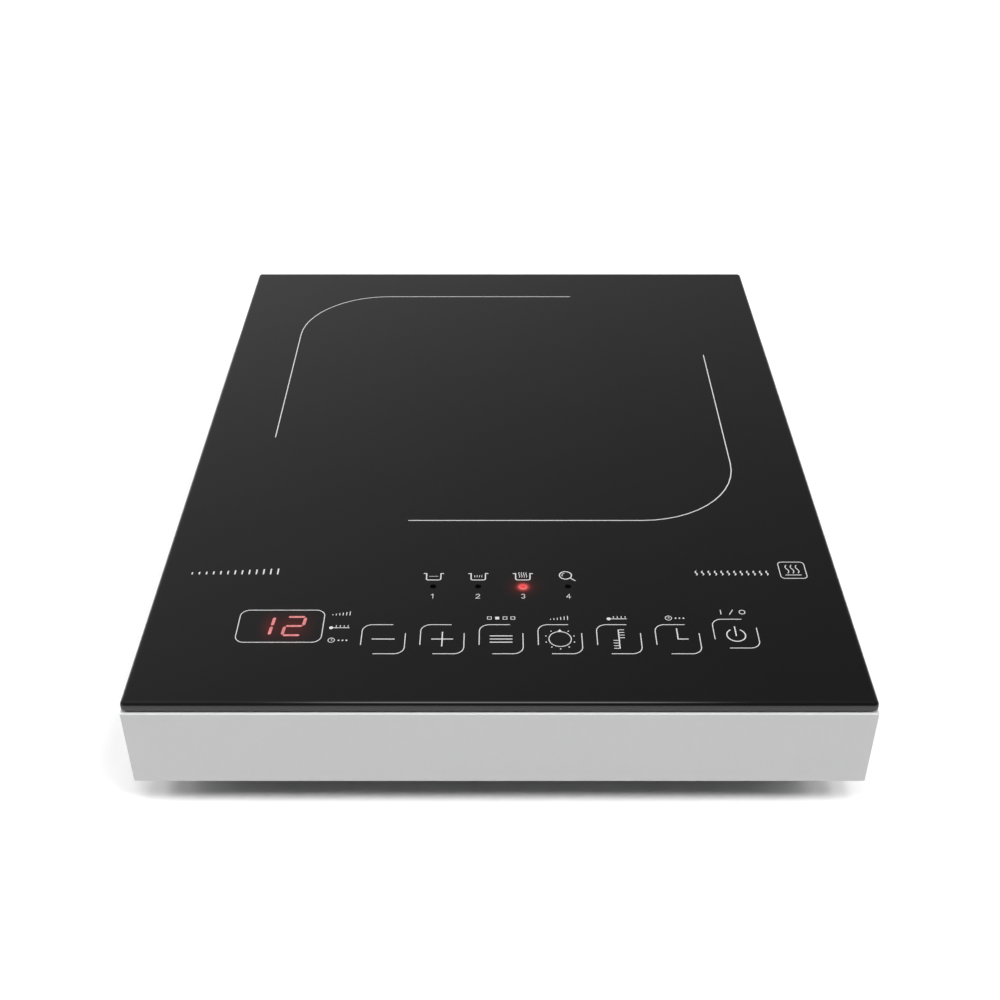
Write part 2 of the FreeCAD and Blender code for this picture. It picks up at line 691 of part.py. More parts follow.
def make_cord_entry():
    """The gland, which grips the pan wall between two flanges, and the saddle clamp behind it."""
    wall_front, wall_rear = GLAND_WALL
    flange_front = wall_front - GLAND_FLANGE + 0.1
    flange_rear = wall_rear + GLAND_FLANGE + 0.1
    end = GLAND_FRONT + GLAND_LENGTH
    low = FLOOR_TOP + GLAND_PLAY
    high = FRAME_BOTTOM - GLAND_PLAY
    outer_low = FLOOR_TOP - 0.9
    nose = Part.makeCone(GLAND_NOSE, GLAND_NECK, end - flange_rear,
                         Vector(CORD_X, flange_rear, CORD_Z), Vector(0, 1, 0))
    gland = joined([
        block(CORD_X - GLAND_HALF, CORD_X + GLAND_HALF, flange_front, wall_front, low, high),
        block(CORD_X - GLAND_NECK, CORD_X + GLAND_NECK, wall_front, wall_rear, low, high),
        block(CORD_X - GLAND_HALF, CORD_X + GLAND_HALF, wall_rear, flange_rear, outer_low, high),
        rod_along_y(CORD_X, CORD_Z, GLAND_FRONT, flange_front, GLAND_NECK),
        nose,
    ])
    save("cord_gland", gland.cut(rod_along_y(CORD_X, CORD_Z, GLAND_FRONT - OVER, end + OVER, CORD_RADIUS)))

    size_x, size_y, size_z = CLAMP_SIZE
    top = CLAMP_BOTTOM + size_z
    saddle = block_at(CORD_X, CLAMP_Y, size_x, size_y, CLAMP_BOTTOM, top)
    cuts = [rod_along_y(CORD_X, CORD_Z, CLAMP_Y - size_y, CLAMP_Y + size_y, CORD_RADIUS)]
    for x, y in clamp_hole_places():
        cuts.append(block_at(x, y, size_y, size_y + OVER, CLAMP_BOTTOM + CLAMP_EAR, top + OVER))
        cuts.append(pilot(x, y, CLAMP_BOTTOM - OVER, top + OVER))
    save("cord_clamp", saddle.cut(cuts))


# ---------------------------------------------------------------- fan
def blade_section(radius, chord, pitch, thickness, camber):
    """A thin bowed section, square to the radius, as a closed wire."""
    angle = math.radians(pitch)
    middle_z = FAN_BOTTOM + FAN_THICKNESS / 2 - 0.6

    def place(along, normal):
        side = along * math.cos(angle) - normal * math.sin(angle)
        lift = along * math.sin(angle) + normal * math.cos(angle)
        return Vector(radius, side, middle_z + lift)

    half = chord / 2
    edge = thickness / 4
    top = Part.Arc(place(-half, edge), place(0, camber + thickness / 2), place(half, edge)).toShape()
    low = Part.Arc(place(half, -edge), place(0, camber - thickness / 2), place(-half, -edge)).toShape()
    lead = Part.makeLine(place(half, edge), place(half, -edge))
    trail = Part.makeLine(place(-half, -edge), place(-half, edge))
    return Part.Wire([top, lead, low, trail])


def fan_blade():
    """One twisted blade, trimmed to the hub and to the tip circle."""
    blade = Part.makeLoft([
        blade_section(HUB_RADIUS - 0.9, 12.0, 44.0, 1.6, 1.4),
        blade_section((HUB_RADIUS + BLADE_TIP) / 2, 17.5, 33.0, 1.4, 1.7),
        blade_section(BLADE_TIP, 22.0, 25.0, 1.2, 1.9),
    ], True, False)
    beyond_tip = tube(0, 0, 0, HEIGHT, FAN_SIDE, BLADE_TIP)
    inside_hub = rod(0, 0, 0, HEIGHT, HUB_RADIUS - 0.6)
    return blade.cut([beyond_tip, inside_hub])


def make_fan_rotor():
    """A cup-shaped hub, open upwards round the motor, with its blades, magnet ring and shaft."""
    hub_top = FAN_TOP - MOTOR_BASE - 1.0
    hub = rod(0, 0, HUB_BOTTOM, hub_top, HUB_RADIUS)
    hub = hub.makeFillet(1.0, level_edges(hub, HUB_BOTTOM))
    hub = hub.cut(rod(0, 0, HUB_BOTTOM + HUB_FLOOR, FAN_TOP, HUB_RADIUS - HUB_WALL))
    shaft_low = HUB_BOTTOM + 0.6
    shaft_boss = rod(0, 0, HUB_BOTTOM + 1.0, HUB_BOTTOM + 2.8, BEARING_OUTER)
    blade = fan_blade()
    blades = [turned(blade, index * 360.0 / FAN_BLADES) for index in range(FAN_BLADES)]
    rotor = joined([hub, shaft_boss] + blades)
    save("fan_rotor", rotor.cut(rod(0, 0, shaft_low, FAN_TOP, SHAFT_RADIUS)))
    magnet_outer = HUB_RADIUS - HUB_WALL
    save("fan_magnet", tube(0, 0, HUB_BOTTOM + 2.4, hub_top - 0.4, magnet_outer, magnet_outer - 2.0))
    save("fan_shaft", rod(0, 0, shaft_low, FAN_TOP - 2.4, SHAFT_RADIUS))


def make_fan_frame():
    """A square duct ring with two flanges; four struts carry the motor base at the outlet side."""
    ring = rounded_block(FAN_SIDE / 2, FAN_SIDE / 2, FAN_BOTTOM, FAN_TOP, 5.0)
    ring = ring.cut(rod(0, 0, FAN_BOTTOM - OVER, FAN_TOP + OVER, FAN_BORE))
    flange_low = FAN_BOTTOM + FAN_FLANGE
    flange_high = FAN_TOP - FAN_FLANGE
    waist = tube(0, 0, flange_low, flange_high, FAN_SIDE, FAN_BORE + FAN_WALL)
    pillars = [rod(x, y, flange_low, flange_high, 4.4) for x, y in fan_hole_places()]
    ring = ring.cut(waist.cut(pillars))
    base_low = FAN_TOP - MOTOR_BASE
    base = rod(0, 0, base_low, FAN_TOP, HUB_RADIUS - 1.0)
    strut = block(10, FAN_BORE + 1.0, -2.0, 2.0, base_low, FAN_TOP)
    struts = [turned(strut, angle) for angle in FAN_STRUT_ANGLES]
    bearing_tube = rod(0, 0, FAN_BOTTOM + 4.4, base_low + 0.5, BEARING_TUBE)
    frame = joined([ring, base, bearing_tube] + struts)
    holes = [rod(x, y, FAN_BOTTOM - OVER, FAN_TOP + OVER, SCREW_RADIUS + 0.3) for x, y in fan_hole_places()]
    holes.append(rod(0, 0, FAN_BOTTOM + 4, FAN_TOP - 1.2, BEARING_OUTER))
    save("fan_frame", frame.cut(holes))

    bearing_bore = SHAFT_RADIUS + BEARING_CLEARANCE
    bearings = [tube(0, 0, z, z + BEARING_LENGTH, BEARING_OUTER, bearing_bore)
                for z in (FAN_BOTTOM + 4.6, FAN_TOP - 4.6)]
    save("fan_bearings", bearings)


def make_fan_stator():
    """A four-pole core on the bearing tube, with a coil on each pole."""
    low = FAN_BOTTOM + 5.6
    high = FAN_TOP - 4.2
    neck_half = 1.4
    coil_build = 0.9
    neck = block(5, STATOR_RADIUS - 0.7, -neck_half, neck_half, low, high)
    shoe = tube(0, 0, low, high, STATOR_RADIUS, STATOR_RADIUS - 1.5)
    shoe = shoe.common(block(0, STATOR_RADIUS + OVER, -7.2, 7.2, low, high))
    coil = block(6.9, 11.1, -neck_half - 1.2, neck_half + 1.2, low - coil_build, high + coil_build)
    coil = coil.cut(block(6, 12, -neck_half - 0.05, neck_half + 0.05, low - 0.05, high + 0.05))
    angles = (0, 90, 180, 270)
    yoke = rod(0, 0, low, high, 6.6)
    core = joined([yoke] + [turned(joined([neck, shoe]), angle) for angle in angles])
    save("fan_stator_core", core.cut(rod(0, 0, low - OVER, high + OVER, BEARING_TUBE)))
    save("fan_stator_coils", [turned(coil, angle) for angle in angles])


def make_fan_screws():
    length = FAN_THICKNESS + 4.0
    save("fan_screws", [screw(x, y, FAN_TOP, length, DOWN) for x, y in fan_hole_places()])


def make_air_duct():
    """A hood over the fan and the heatsink, open to the rear slots and screwed to the pan by four tabs."""
    hood = block(-DUCT_HALF, DUCT_HALF, DUCT_FRONT, DUCT_REAR, FLOOR_TOP + DUCT_FLOOR_GAP, DUCT_TOP)
    hollow = block(-DUCT_HALF + DUCT_WALL, DUCT_HALF - DUCT_WALL, DUCT_FRONT + DUCT_WALL,
                   DUCT_REAR + OVER, FLOOR_TOP - OVER, DUCT_TOP - DUCT_WALL)
    tabs = [block_at(side * (DUCT_TAB_X - 1), y, 11, 9, DUCT_TAB_LOW, DUCT_TAB_LOW + DUCT_WALL)
            for side in SIDES for y in DUCT_TAB_Y]
    over_board = block(-60, 60, BOARD_FRONT - 0.5, DUCT_REAR + OVER, FLOOR_TOP - OVER, BOARD_TOP + 0.3)
    lead_notch = block(DUCT_HALF - 3, DUCT_HALF + OVER, 5.5, 12.5, 23, 29)
    holes = [clearance(x, y, FLOOR_TOP, DUCT_TOP) for x, y in duct_tab_places()]
    save("air_duct", joined([hood] + tabs).cut([hollow, over_board, lead_notch] + holes))


# ---------------------------------------------------------------- power board
def make_power_board():
    """The board has holes for its screws, for two coil posts and for a driver under the heatsink."""
    board = rounded_block(BOARD_HALF_WIDTH, (BOARD_REAR - BOARD_FRONT) / 2, BOARD_Z, BOARD_TOP, 2.0,
                          0, (BOARD_REAR + BOARD_FRONT) / 2)
    low = BOARD_Z - OVER
    high = BOARD_TOP + OVER
    holes = [clearance(x, y, low, high) for x, y in BOARD_HOLES]
    holes += [rod(x, y, low, high, POST_RADIUS + 1.0) for x, y in coil_post_places()]
    holes += [rod(x, y, low, high, SCREW_HEAD_RADIUS + 0.4) for x, y in device_screw_places()]
    save("power_board", board.cut(holes))


def make_heatsink():
    """A finned plate on four feet; the two power devices are screwed to its underside."""
    base_high = HEATSINK_LOW + HEATSINK_BASE
    fin_top = DUCT_TOP - DUCT_WALL - FIN_CLEARANCE
    base = block(-HEATSINK_HALF, HEATSINK_HALF, HEATSINK_FRONT, HEATSINK_REAR, HEATSINK_LOW, base_high)
    pitch = (2 * HEATSINK_HALF - FIN_THICKNESS) / (FIN_COUNT - 1)
    fins = []
    for index in range(FIN_COUNT):
        x = -HEATSINK_HALF + index * pitch
        fins.append(block(x, x + FIN_THICKNESS, HEATSINK_FRONT, HEATSINK_REAR, base_high - 0.5, fin_top))
    inset = HEATSINK_FOOT / 2
    feet = [block_at(side * (HEATSINK_HALF - inset), y, HEATSINK_FOOT, HEATSINK_FOOT,
                     BOARD_TOP, HEATSINK_LOW + OVER)
            for side in SIDES for y in (HEATSINK_FRONT + inset, HEATSINK_REAR - inset)]
    holes = [pilot(x, y, HEATSINK_LOW - OVER, base_high - 0.7) for x, y in device_screw_places()]
    save("heatsink", joined([base] + fins + feet).cut(holes))
    seat = HEATSINK_LOW - DEVICE_THICKNESS
    length = DEVICE_THICKNESS + 4.0
    save("heatsink_screws", [screw(x, y, seat, length) for x, y in device_screw_places()])


def power_device(x, half_width, front, rear, lead_offsets):
    """A flat package under the heatsink whose leads run forward and turn down to the board."""
    low = HEATSINK_LOW - DEVICE_THICKNESS
    lead_z = HEATSINK_LOW - 2.0
    lead_front = front - 8.0
    lead_half_width = 0.6
    lead_half_thickness = 0.3
    shapes = [block(x - half_width, x + half_width, front, rear, low, HEATSINK_LOW)]
    for offset in lead_offsets:
        left = x + offset - lead_half_width
        right = x + offset + lead_half_width
        shapes.append(block(left, right, lead_front, front + OVER,
                            lead_z - lead_half_thickness, lead_z + lead_half_thickness))
        shapes.append(block(left, right, lead_front, lead_front + 2 * lead_half_thickness,
                            BOARD_TOP, lead_z + lead_half_thickness))
    return joined(shapes).cut(clearance(x, DEVICE_SCREW_Y, BOARD_TOP, HEATSINK_LOW + OVER))


def make_power_devices():
    save("igbt", power_device(-DEVICE_SCREW_X, 8.0, 90.0, 111.0, (-5.4, 0.0, 5.4)))
    save("bridge_rectifier", power_device(DEVICE_SCREW_X, 12.5, 96.0, 112.0, (-9.0, -3.0, 3.0, 9.0)))


def box_capacitor(x0, x1, y0, y1, height):
    """A moulded box capacitor with rounded edges and four stand-off pips."""
    body = block(x0, x1, y0, y1, BOARD_TOP + 0.6, BOARD_TOP + height)
    body = body.makeFillet(1.0, body.Edges)
    inset = 3.0
    pips = [block_at(x, y, 2, 2, BOARD_TOP, BOARD_TOP + 1.8)
            for x in (x0 + inset, x1 - inset) for y in (y0 + inset, y1 - inset)]
    return joined([body] + pips)


def make_capacitors():
    save("filter_capacitor", box_capacitor(54, 75, 82, 122, 23.0))
    save("resonant_capacitor", box_capacitor(93, 113, 99, 139, 24.0))
    save("x2_capacitor", box_capacitor(-113, -86, 119, 130, 18.0))
    can_radius = 5.0
    can_top = BOARD_TOP + 18.0
    cans = []
    for x, y in ((-60, 98), (-60, 110), (-73, 108)):
        can = rod(x, y, BOARD_TOP, can_top, can_radius)
        can = can.makeFillet(0.6, level_edges(can, can_top))
        crimp = tube(x, y, BOARD_TOP + 2.0, BOARD_TOP + 3.0, can_radius + OVER, can_radius - 0.3)
        cans.append(can.cut(crimp))
    save("electrolytic_capacitors", cans)


def make_transformer():
    """A small bobbin with its winding between two cheeks and a core through the middle."""
    x, y = -67.0, 80.0
    save("standby_transformer", joined([
        block_at(x, y, 22, 20, BOARD_TOP, BOARD_TOP + 3),
        block_at(x, y, 19, 14, BOARD_TOP + 2, BOARD_TOP + 17),
        block_at(x, y, 22, 20, BOARD_TOP + 15, BOARD_TOP + 18),
        block_at(x, y, 8, 19, BOARD_TOP + 2, BOARD_TOP + 17),
    ]))


def make_varistor():
    """A dipped disc standing on two legs."""
    x, y = -100.0, 78.0
    disc_radius = 7.0
    disc_thickness = 4.4
    disc = rod_along_y(x, BOARD_TOP + disc_radius + 2.5, y, y + disc_thickness, disc_radius)
    disc = disc.makeFillet(1.2, disc.Edges)
    legs = [rod(x + side * 3.5, y + disc_thickness / 2, BOARD_TOP, BOARD_TOP + 6, 0.4) for side in SIDES]
    save("varistor", joined([disc] + legs))


def make_choke():
    """A toroid lying on the board with a single-layer winding in two halves."""
    x, y = CHOKE_PLACE
    low = BOARD_TOP + 1.6
    high = low + 10.0
    outer, inner = 12.0, 6.6
    core = tube(x, y, low, high, outer, inner)
    core = core.makeFillet(0.8, level_edges(core, low) + level_edges(core, high))
    save("choke_core", core)
    wire = 1.3
    play = 0.1
    turn = block(x + inner - play - wire - 0.2, x + outer + play + wire, y - wire / 2, y + wire / 2,
                 low - play - wire, high + play + wire)
    turn = turn.makeFillet(0.5, [edge for edge in turn.Edges if edge.BoundBox.YLength > 0.5])
    turn = turn.cut(block(x + inner - play, x + outer + play, y - wire, y + wire, low - play, high + play))
    first_angle, step = 20, 17
    turns = [turned(turn, side * (first_angle + index * step), x, y)
             for side in SIDES for index in range(CHOKE_TURNS_PER_SIDE)]
    save("choke_winding", turns)


def make_fuse():
    """A glass fuse with two end caps and two legs, soldered to the board."""
    x = -108.0
    middle_z = BOARD_TOP + 5.5
    front, rear, cap_length = 94.0, 118.0, 5.0
    caps = [rod_along_y(x, middle_z, y, y + cap_length, 2.6) for y in (front, rear - cap_length)]
    legs = [block_at(x, y, 1.2, 0.8, BOARD_TOP, middle_z) for y in (front + 0.4, rear - 0.4)]
    glass = rod_along_y(x, middle_z, front + 2, rear - 2, 2.2)
    save("mains_fuse", joined([glass] + caps + legs))


def make_mains_terminals():
    """A three-way block: screw wells on top and wire mouths at the rear."""
    front, rear = 136.0, 148.0
    top = BOARD_TOP + 12.0
    block_left, block_right = -106.0, -82.0
    body = block(block_left, block_right, front, rear, BOARD_TOP, top)
    pitch = (block_right - block_left) / 3
    wells = []
    for index in range(3):
        x = block_left + (index + 0.5) * pitch
        wells.append(rod(x, (front + rear) / 2, BOARD_TOP + 7, top + OVER, 2.4))
        wells.append(block_at(x, rear - 2, 5, 6, BOARD_TOP + 2, BOARD_TOP + 7))
    save("mains_terminals", body.cut(wells))


def make_coil_terminals():
    posts = []
    for x in COIL_POST_X:
        post = rod(x, COIL_POST_Y, BOARD_TOP, BOARD_TOP + COIL_POST_HEIGHT, 4.2)
        collar = block_at(x, COIL_POST_Y, 11, 11, BOARD_TOP, BOARD_TOP + 2)
        posts.append(joined([post, collar]))
    save("coil_terminals", posts)


def make_connectors():
    """Plug housings: the ribbon's two ends, the fan's and the sensor's."""
    housings = []
    for x, y, size_x, base in (
        (RIBBON_X, 65.5, RIBBON_WIDTH + 4, BOARD_TOP),
        (RIBBON_X, -101.0, RIBBON_WIDTH + 4, CONTROL_TOP),
        (FAN_PLUG[0], FAN_PLUG[1], 7.0, BOARD_TOP),
        (SENSOR_PLUG[0], SENSOR_PLUG[1], 6.0, BOARD_TOP),
    ):
        shell = block_at(x, y, size_x, 5.0, base, base + PLUG_HEIGHT)
        housings.append(shell.makeChamfer(0.5, level_edges(shell, base + PLUG_HEIGHT)))
    save("wire_connectors", housings)


def make_chips():
    """The controller on the control board, and two driver chips on the power board."""
    chips = []
    for x, y, size_x, size_y, base in (
        (42.0, -104.0, 10.0, 10.0, CONTROL_TOP),
        (97.0, 73.0, 5.0, 6.0, BOARD_TOP),
        (100.0, 84.0, 10.0, 5.0, BOARD_TOP),
    ):
        top = base + 2.0
        body = block_at(x, y, size_x, size_y, base + 0.3, top)
        body = body.makeChamfer(0.3, level_edges(body, top))
        legs = [block_at(x + side * (size_x / 2 + 0.6), y, 1.4, size_y * 0.8, base, base + 0.6)
                for side in SIDES]
        chips.append(joined([body] + legs))
    save("control_chips", chips)


# ---------------------------------------------------------------- coil
def former_ears():
    shapes = []
    for angle in EAR_ANGLES:
        x, y = on_circle(EAR_CENTRE_RADIUS, angle, 0, ZONE_Y)
        shapes.append(rod(x, y, EAR_BOTTOM, FORMER_TOP, EAR_RADIUS))
        arm = block(FORMER_RADIUS - EAR_RADIUS, EAR_CENTRE_RADIUS, ZONE_Y - EAR_RADIUS,
                    ZONE_Y + EAR_RADIUS, EAR_BOTTOM, FORMER_TOP)
        shapes.append(turned(arm, angle, 0, ZONE_Y))
    return shapes


def ferrite_pockets():
    """Low walls under the plate, round each ferrite bar."""
    length, width, _ = FERRITE_SIZE
    start, end = FERRITE_START, FERRITE_START + length
    half = width / 2
    wall = block(start - POCKET_WALL, end + POCKET_WALL, ZONE_Y - half - POCKET_WALL + 0.1,
                 ZONE_Y + half + POCKET_WALL - 0.1, FORMER_BOTTOM - POCKET_DEPTH, FORMER_BOTTOM)
    pocket = block(start - FERRITE_PLAY, end + FERRITE_PLAY, ZONE_Y - half - FERRITE_PLAY,
                   ZONE_Y + half + FERRITE_PLAY, FORMER_BOTTOM - POCKET_DEPTH - OVER, FORMER_BOTTOM)
    return [turned(wall.cut(pocket), angle, 0, ZONE_Y) for angle in FERRITE_ANGLES]


def make_former():
    """Plate with a rim, a hub ring, ferrite pockets below and three screw ears."""
    y = ZONE_Y
    rim_top = COIL_Z + COIL_WIRE_RADIUS + 0.4
    low = FORMER_BOTTOM - OVER
    high = FORMER_TOP + OVER
    plate = rod(0, y, FORMER_BOTTOM, FORMER_TOP, FORMER_RADIUS)
    rim = tube(0, y, FORMER_BOTTOM, rim_top, FORMER_RADIUS, FORMER_RADIUS - FORMER_WALL)
    hub = tube(0, y, FORMER_BOTTOM, rim_top, FORMER_HUB_RADIUS, FORMER_HUB_RADIUS - FORMER_WALL)
    former = joined([plate, rim, hub] + former_ears() + ferrite_pockets())
    holes = [rod(0, y, low, high, 9.2)]
    holes += [clearance(ear_x, ear_y, EAR_BOTTOM - OVER, high) for ear_x, ear_y in coil_post_places()]
    holes += [rod(x, y, low, high, 2.0) for x in COIL_END_HOLES]
    window_inner, window_outer, window_width = FORMER_WINDOW
    ring = tube(0, y, low, high, window_outer, window_inner)
    strip = block(0, FORMER_RADIUS, y - window_width / 2, y + window_width / 2, low, high)
    holes += [ring.common(turned(strip, angle, 0, y)) for angle in range(0, 360, 60)]
    save("coil_former", former.cut(holes))


def make_winding():
    """A flat spiral of half circles whose centres alternate, each starting where the last ended."""
    solids = []
    for index in range(2 * COIL_TURNS):
        side = 1 if index % 2 == 0 else -1
        radius = COIL_INNER_RADIUS + index * COIL_PITCH / 2
        centre = Vector(-side * COIL_PITCH / 4, ZONE_Y, COIL_Z)
        start = centre + Vector(side * radius, 0, 0)
        section = Part.Face(Part.Wire(Part.makeCircle(COIL_WIRE_RADIUS, start, Vector(0, 1, 0))))
        solids.append(section.revolve(centre, UP, 180))
    save("coil_winding", joined(solids))


def make_ferrites_and_mica():
    length, width, height = FERRITE_SIZE
    bar = block(FERRITE_START, FERRITE_START + length, ZONE_Y - width / 2, ZONE_Y + width / 2,
                FORMER_BOTTOM - height, FORMER_BOTTOM)
    bar = bar.makeFillet(0.6, bar.Edges)
    save("ferrite_bars", [turned(bar, angle, 0, ZONE_Y) for angle in FERRITE_ANGLES])
    save("mica_sheet", tube(0, ZONE_Y, MICA_BOTTOM, MICA_BOTTOM + MICA_THICKNESS,
                            FORMER_RADIUS - 1.0, MICA_HOLE))


def make_sensor():
    """A capsule pressed against the glass by a soft holder in the former's hub."""
    y = ZONE_Y
    flange = rod(0, y, FORMER_TOP, FORMER_TOP + 1.4, 11.0)
    neck = rod(0, y, FORMER_BOTTOM - 1.6, FORMER_TOP, 9.0)
    cup = rod(0, y, FORMER_TOP, MICA_BOTTOM + MICA_THICKNESS, 6.4)
    holder = joined([flange, neck, cup])
    save("sensor_holder", holder.cut(rod(0, y, FORMER_BOTTOM - 10, HEIGHT, SENSOR_RADIUS + 0.1)))
    capsule_low = 50.0
    capsule = rod(0, y, capsule_low, GLASS_BOTTOM, SENSOR_RADIUS)
    legs = [rod(0, y + side * SENSOR_LEG_SPACING, SENSOR_BOTTOM, capsule_low, 0.7) for side in SIDES]
    save("temperature_sensor", joined([capsule] + legs))


# ---------------------------------------------------------------- wiring
def make_coil_leads():
    """Two sleeved leads from the winding's ends down to the terminals."""
    y = ZONE_Y
    start_z = FORMER_TOP - 0.4
    post_top = BOARD_TOP + COIL_POST_HEIGHT
    inner_x, outer_x = COIL_END_HOLES
    inner_post, outer_post = COIL_POST_X
    outer = [(outer_x, y, start_z), (outer_x, y, 38), (outer_post, COIL_POST_Y, 32),
             (outer_post, COIL_POST_Y, post_top)]
    inner = [(inner_x, y, start_z), (inner_x + 1.0, y, 45.4), (inner_x + 12, y + 0.4, 43.2),
             (54, y + 1, 43.0), (62, y + 10, 36), (inner_post, COIL_POST_Y, 31),
             (inner_post, COIL_POST_Y, post_top)]
    save("coil_leads", [wire_along(outer, 1.5), wire_along(inner, 1.5)])


def make_small_leads():
    """Pairs of thin leads: from the sensor and from the fan motor, each to its own plug."""
    plug_top = BOARD_TOP + PLUG_HEIGHT
    y = ZONE_Y
    plug_x, plug_y = SENSOR_PLUG
    pair = []
    for side in SIDES:
        lane = y + side * SENSOR_LEG_SPACING
        pair.append(wire_along([
            (0, lane, SENSOR_BOTTOM), (0, lane, 42), (plug_x + side, lane, 42),
            (plug_x + side, plug_y, 34), (plug_x + side, plug_y, plug_top),
        ], 0.6))
    save("sensor_lead", pair)

    plug_x, plug_y = FAN_PLUG
    pair = []
    for side in SIDES:
        pair.append(wire_along([
            (12, 9 + side, FAN_TOP + 0.75), (plug_x - side, 9 + side, FAN_TOP + 0.75),
            (plug_x - side, plug_y, FAN_TOP + 3), (plug_x - side, plug_y, plug_top),
        ], 0.7))
    save("fan_lead", pair)


def make_ribbon():
    """A flat cable from the control board, along the pan floor, to the power board."""
    x = RIBBON_X
    upper = CONTROL_TOP + 3.2
    lower = FLOOR_TOP + 2
    board_side = BOARD_TOP + 3.4
    points = [
        (x, -98.5, upper), (x, -82, upper), (x, -74, 30), (x, -58, lower),
        (x, 44, lower), (x, 54, board_side), (x, 63, board_side),
    ]
    path = route(points)
    start = Vector(*points[0])
    along = (Vector(*points[1]) - start).normalize()
    across = Vector(1, 0, 0)
    normal = along.cross(across)
    corners = [start + across * (a * RIBBON_WIDTH / 2) + normal * (b * RIBBON_THICKNESS / 2)
               for a, b in ((-1, -1), (1, -1), (1, 1), (-1, 1))]
    outline = Part.makePolygon(corners + corners[:1])
    save("ribbon_cable", path.makePipeShell([outline], True, False))


# ---------------------------------------------------------------- controls
def make_control_bracket():
    """A shallow tray that holds the control board up under the glass."""
    middle_y = (CONTROL_FRONT + CONTROL_REAR) / 2
    half_y = (CONTROL_REAR - CONTROL_FRONT) / 2
    play = 0.5
    outer = BRACKET_WALL + play
    tray = rounded_block(CONTROL_HALF_WIDTH + outer, half_y + outer, BRACKET_Z, CONTROL_Z - 0.4, 3.0,
                         0, middle_y)
    hollow = rounded_block(CONTROL_HALF_WIDTH + play, half_y + play, BRACKET_Z + BRACKET_FLOOR,
                           CONTROL_Z + OVER, 2.0, 0, middle_y)
    bosses = [rod(x, y, BRACKET_Z, CONTROL_Z, POST_RADIUS) for x, y in control_post_places()]
    holes = [clearance(x, y, BRACKET_Z - OVER, CONTROL_Z + OVER) for x, y in control_post_places()]
    windows = [rounded_block(22, 18, BRACKET_Z - OVER, CONTROL_Z, 4.0, x, middle_y) for x in (-74, 0, 74)]
    save("control_bracket", joined([tray.cut(hollow)] + bosses).cut(holes + windows))


def make_control_board():
    middle_y = (CONTROL_FRONT + CONTROL_REAR) / 2
    half_y = (CONTROL_REAR - CONTROL_FRONT) / 2
    board = rounded_block(CONTROL_HALF_WIDTH, half_y, CONTROL_Z, CONTROL_TOP, 2.0, 0, middle_y)
    holes = [clearance(x, y, CONTROL_Z - OVER, CONTROL_TOP + OVER) for x, y in control_post_places()]
    save("control_board", board.cut(holes))


def make_touch_pads():
    """Conductive foam pillars that press against the glass under each touch key."""
    pads = []
    for x, y in touch_key_places():
        pillar = rod(x, y, CONTROL_TOP, GLASS_BOTTOM, PAD_RADIUS)
        waist = tube(x, y, CONTROL_TOP + 2, GLASS_BOTTOM - 2, PAD_RADIUS + OVER, PAD_RADIUS - 0.8)
        pads.append(pillar.cut(waist))
    save("touch_pads", pads)


def digit_cells(x, y, top):
    """Light wells of the seven segments of one digit."""
    half_x, half_y = DIGIT_HALF
    gap = 1.8
    low = top - 2.0
    cells = [block_at(x, y + row * half_y, 2 * half_x - gap, SEGMENT_WIDTH, low, top + OVER)
             for row in (-1, 0, 1)]
    cells += [block_at(x + column * half_x, y + row * half_y, SEGMENT_WIDTH, half_y - gap, low, top + OVER)
              for column in SIDES for row in (-0.5, 0.5)]
    return cells


def make_display():
    x, y = DISPLAY_CENTRE
    top = GLASS_BOTTOM - 0.5
    module = block_at(x, y, DISPLAY_SIZE[0], DISPLAY_SIZE[1], CONTROL_TOP, top)
    cells = []
    for side in SIDES:
        cells.extend(digit_cells(x + side * DIGIT_PITCH / 2, y, top))
    save("display_module", module.cut(cells))


def make_indicators():
    """Light-emitting diodes with a collar and a domed top, under the row of mode marks."""
    dome_z = CONTROL_TOP + 3.6
    leds = []
    for index in range(INDICATOR_COUNT):
        x = INDICATOR_FIRST_X + index * INDICATOR_PITCH
        leds.append(joined([
            rod(x, INDICATOR_Y, CONTROL_TOP, CONTROL_TOP + 1.0, LED_RADIUS + 0.4),
            rod(x, INDICATOR_Y, CONTROL_TOP, dome_z, LED_RADIUS),
            Part.makeSphere(LED_RADIUS, Vector(x, INDICATOR_Y, dome_z)),
        ]))
    save("indicator_leds", leds)


def make_buzzer():
    x, y = 70.0, -115.0
    top = CONTROL_TOP + 5.5
    body = rod(x, y, CONTROL_TOP, top, 6.0)
    body = body.makeFillet(0.6, level_edges(body, top))
    save("buzzer", body.cut(rod(x, y, CONTROL_TOP + 3, top + OVER, 1.0)))


def make_inner_screws():
    """The screws that hold the power board, cord clamp, duct, coil and control board."""
    groups = (
        (BOARD_HOLES, BOARD_TOP, 6.5),
        (clamp_hole_places(), CLAMP_BOTTOM + CLAMP_EAR, 6.5),
        (duct_tab_places(), DUCT_TAB_LOW + DUCT_WALL, 4.4),
        (coil_post_places(), FORMER_TOP, 12.5),
        (control_post_places(), CONTROL_TOP, 14.0),
    )
    save("inner_screws", [screw(x, y, seat, length, DOWN)
                          for places, seat, length in groups for x, y in places])


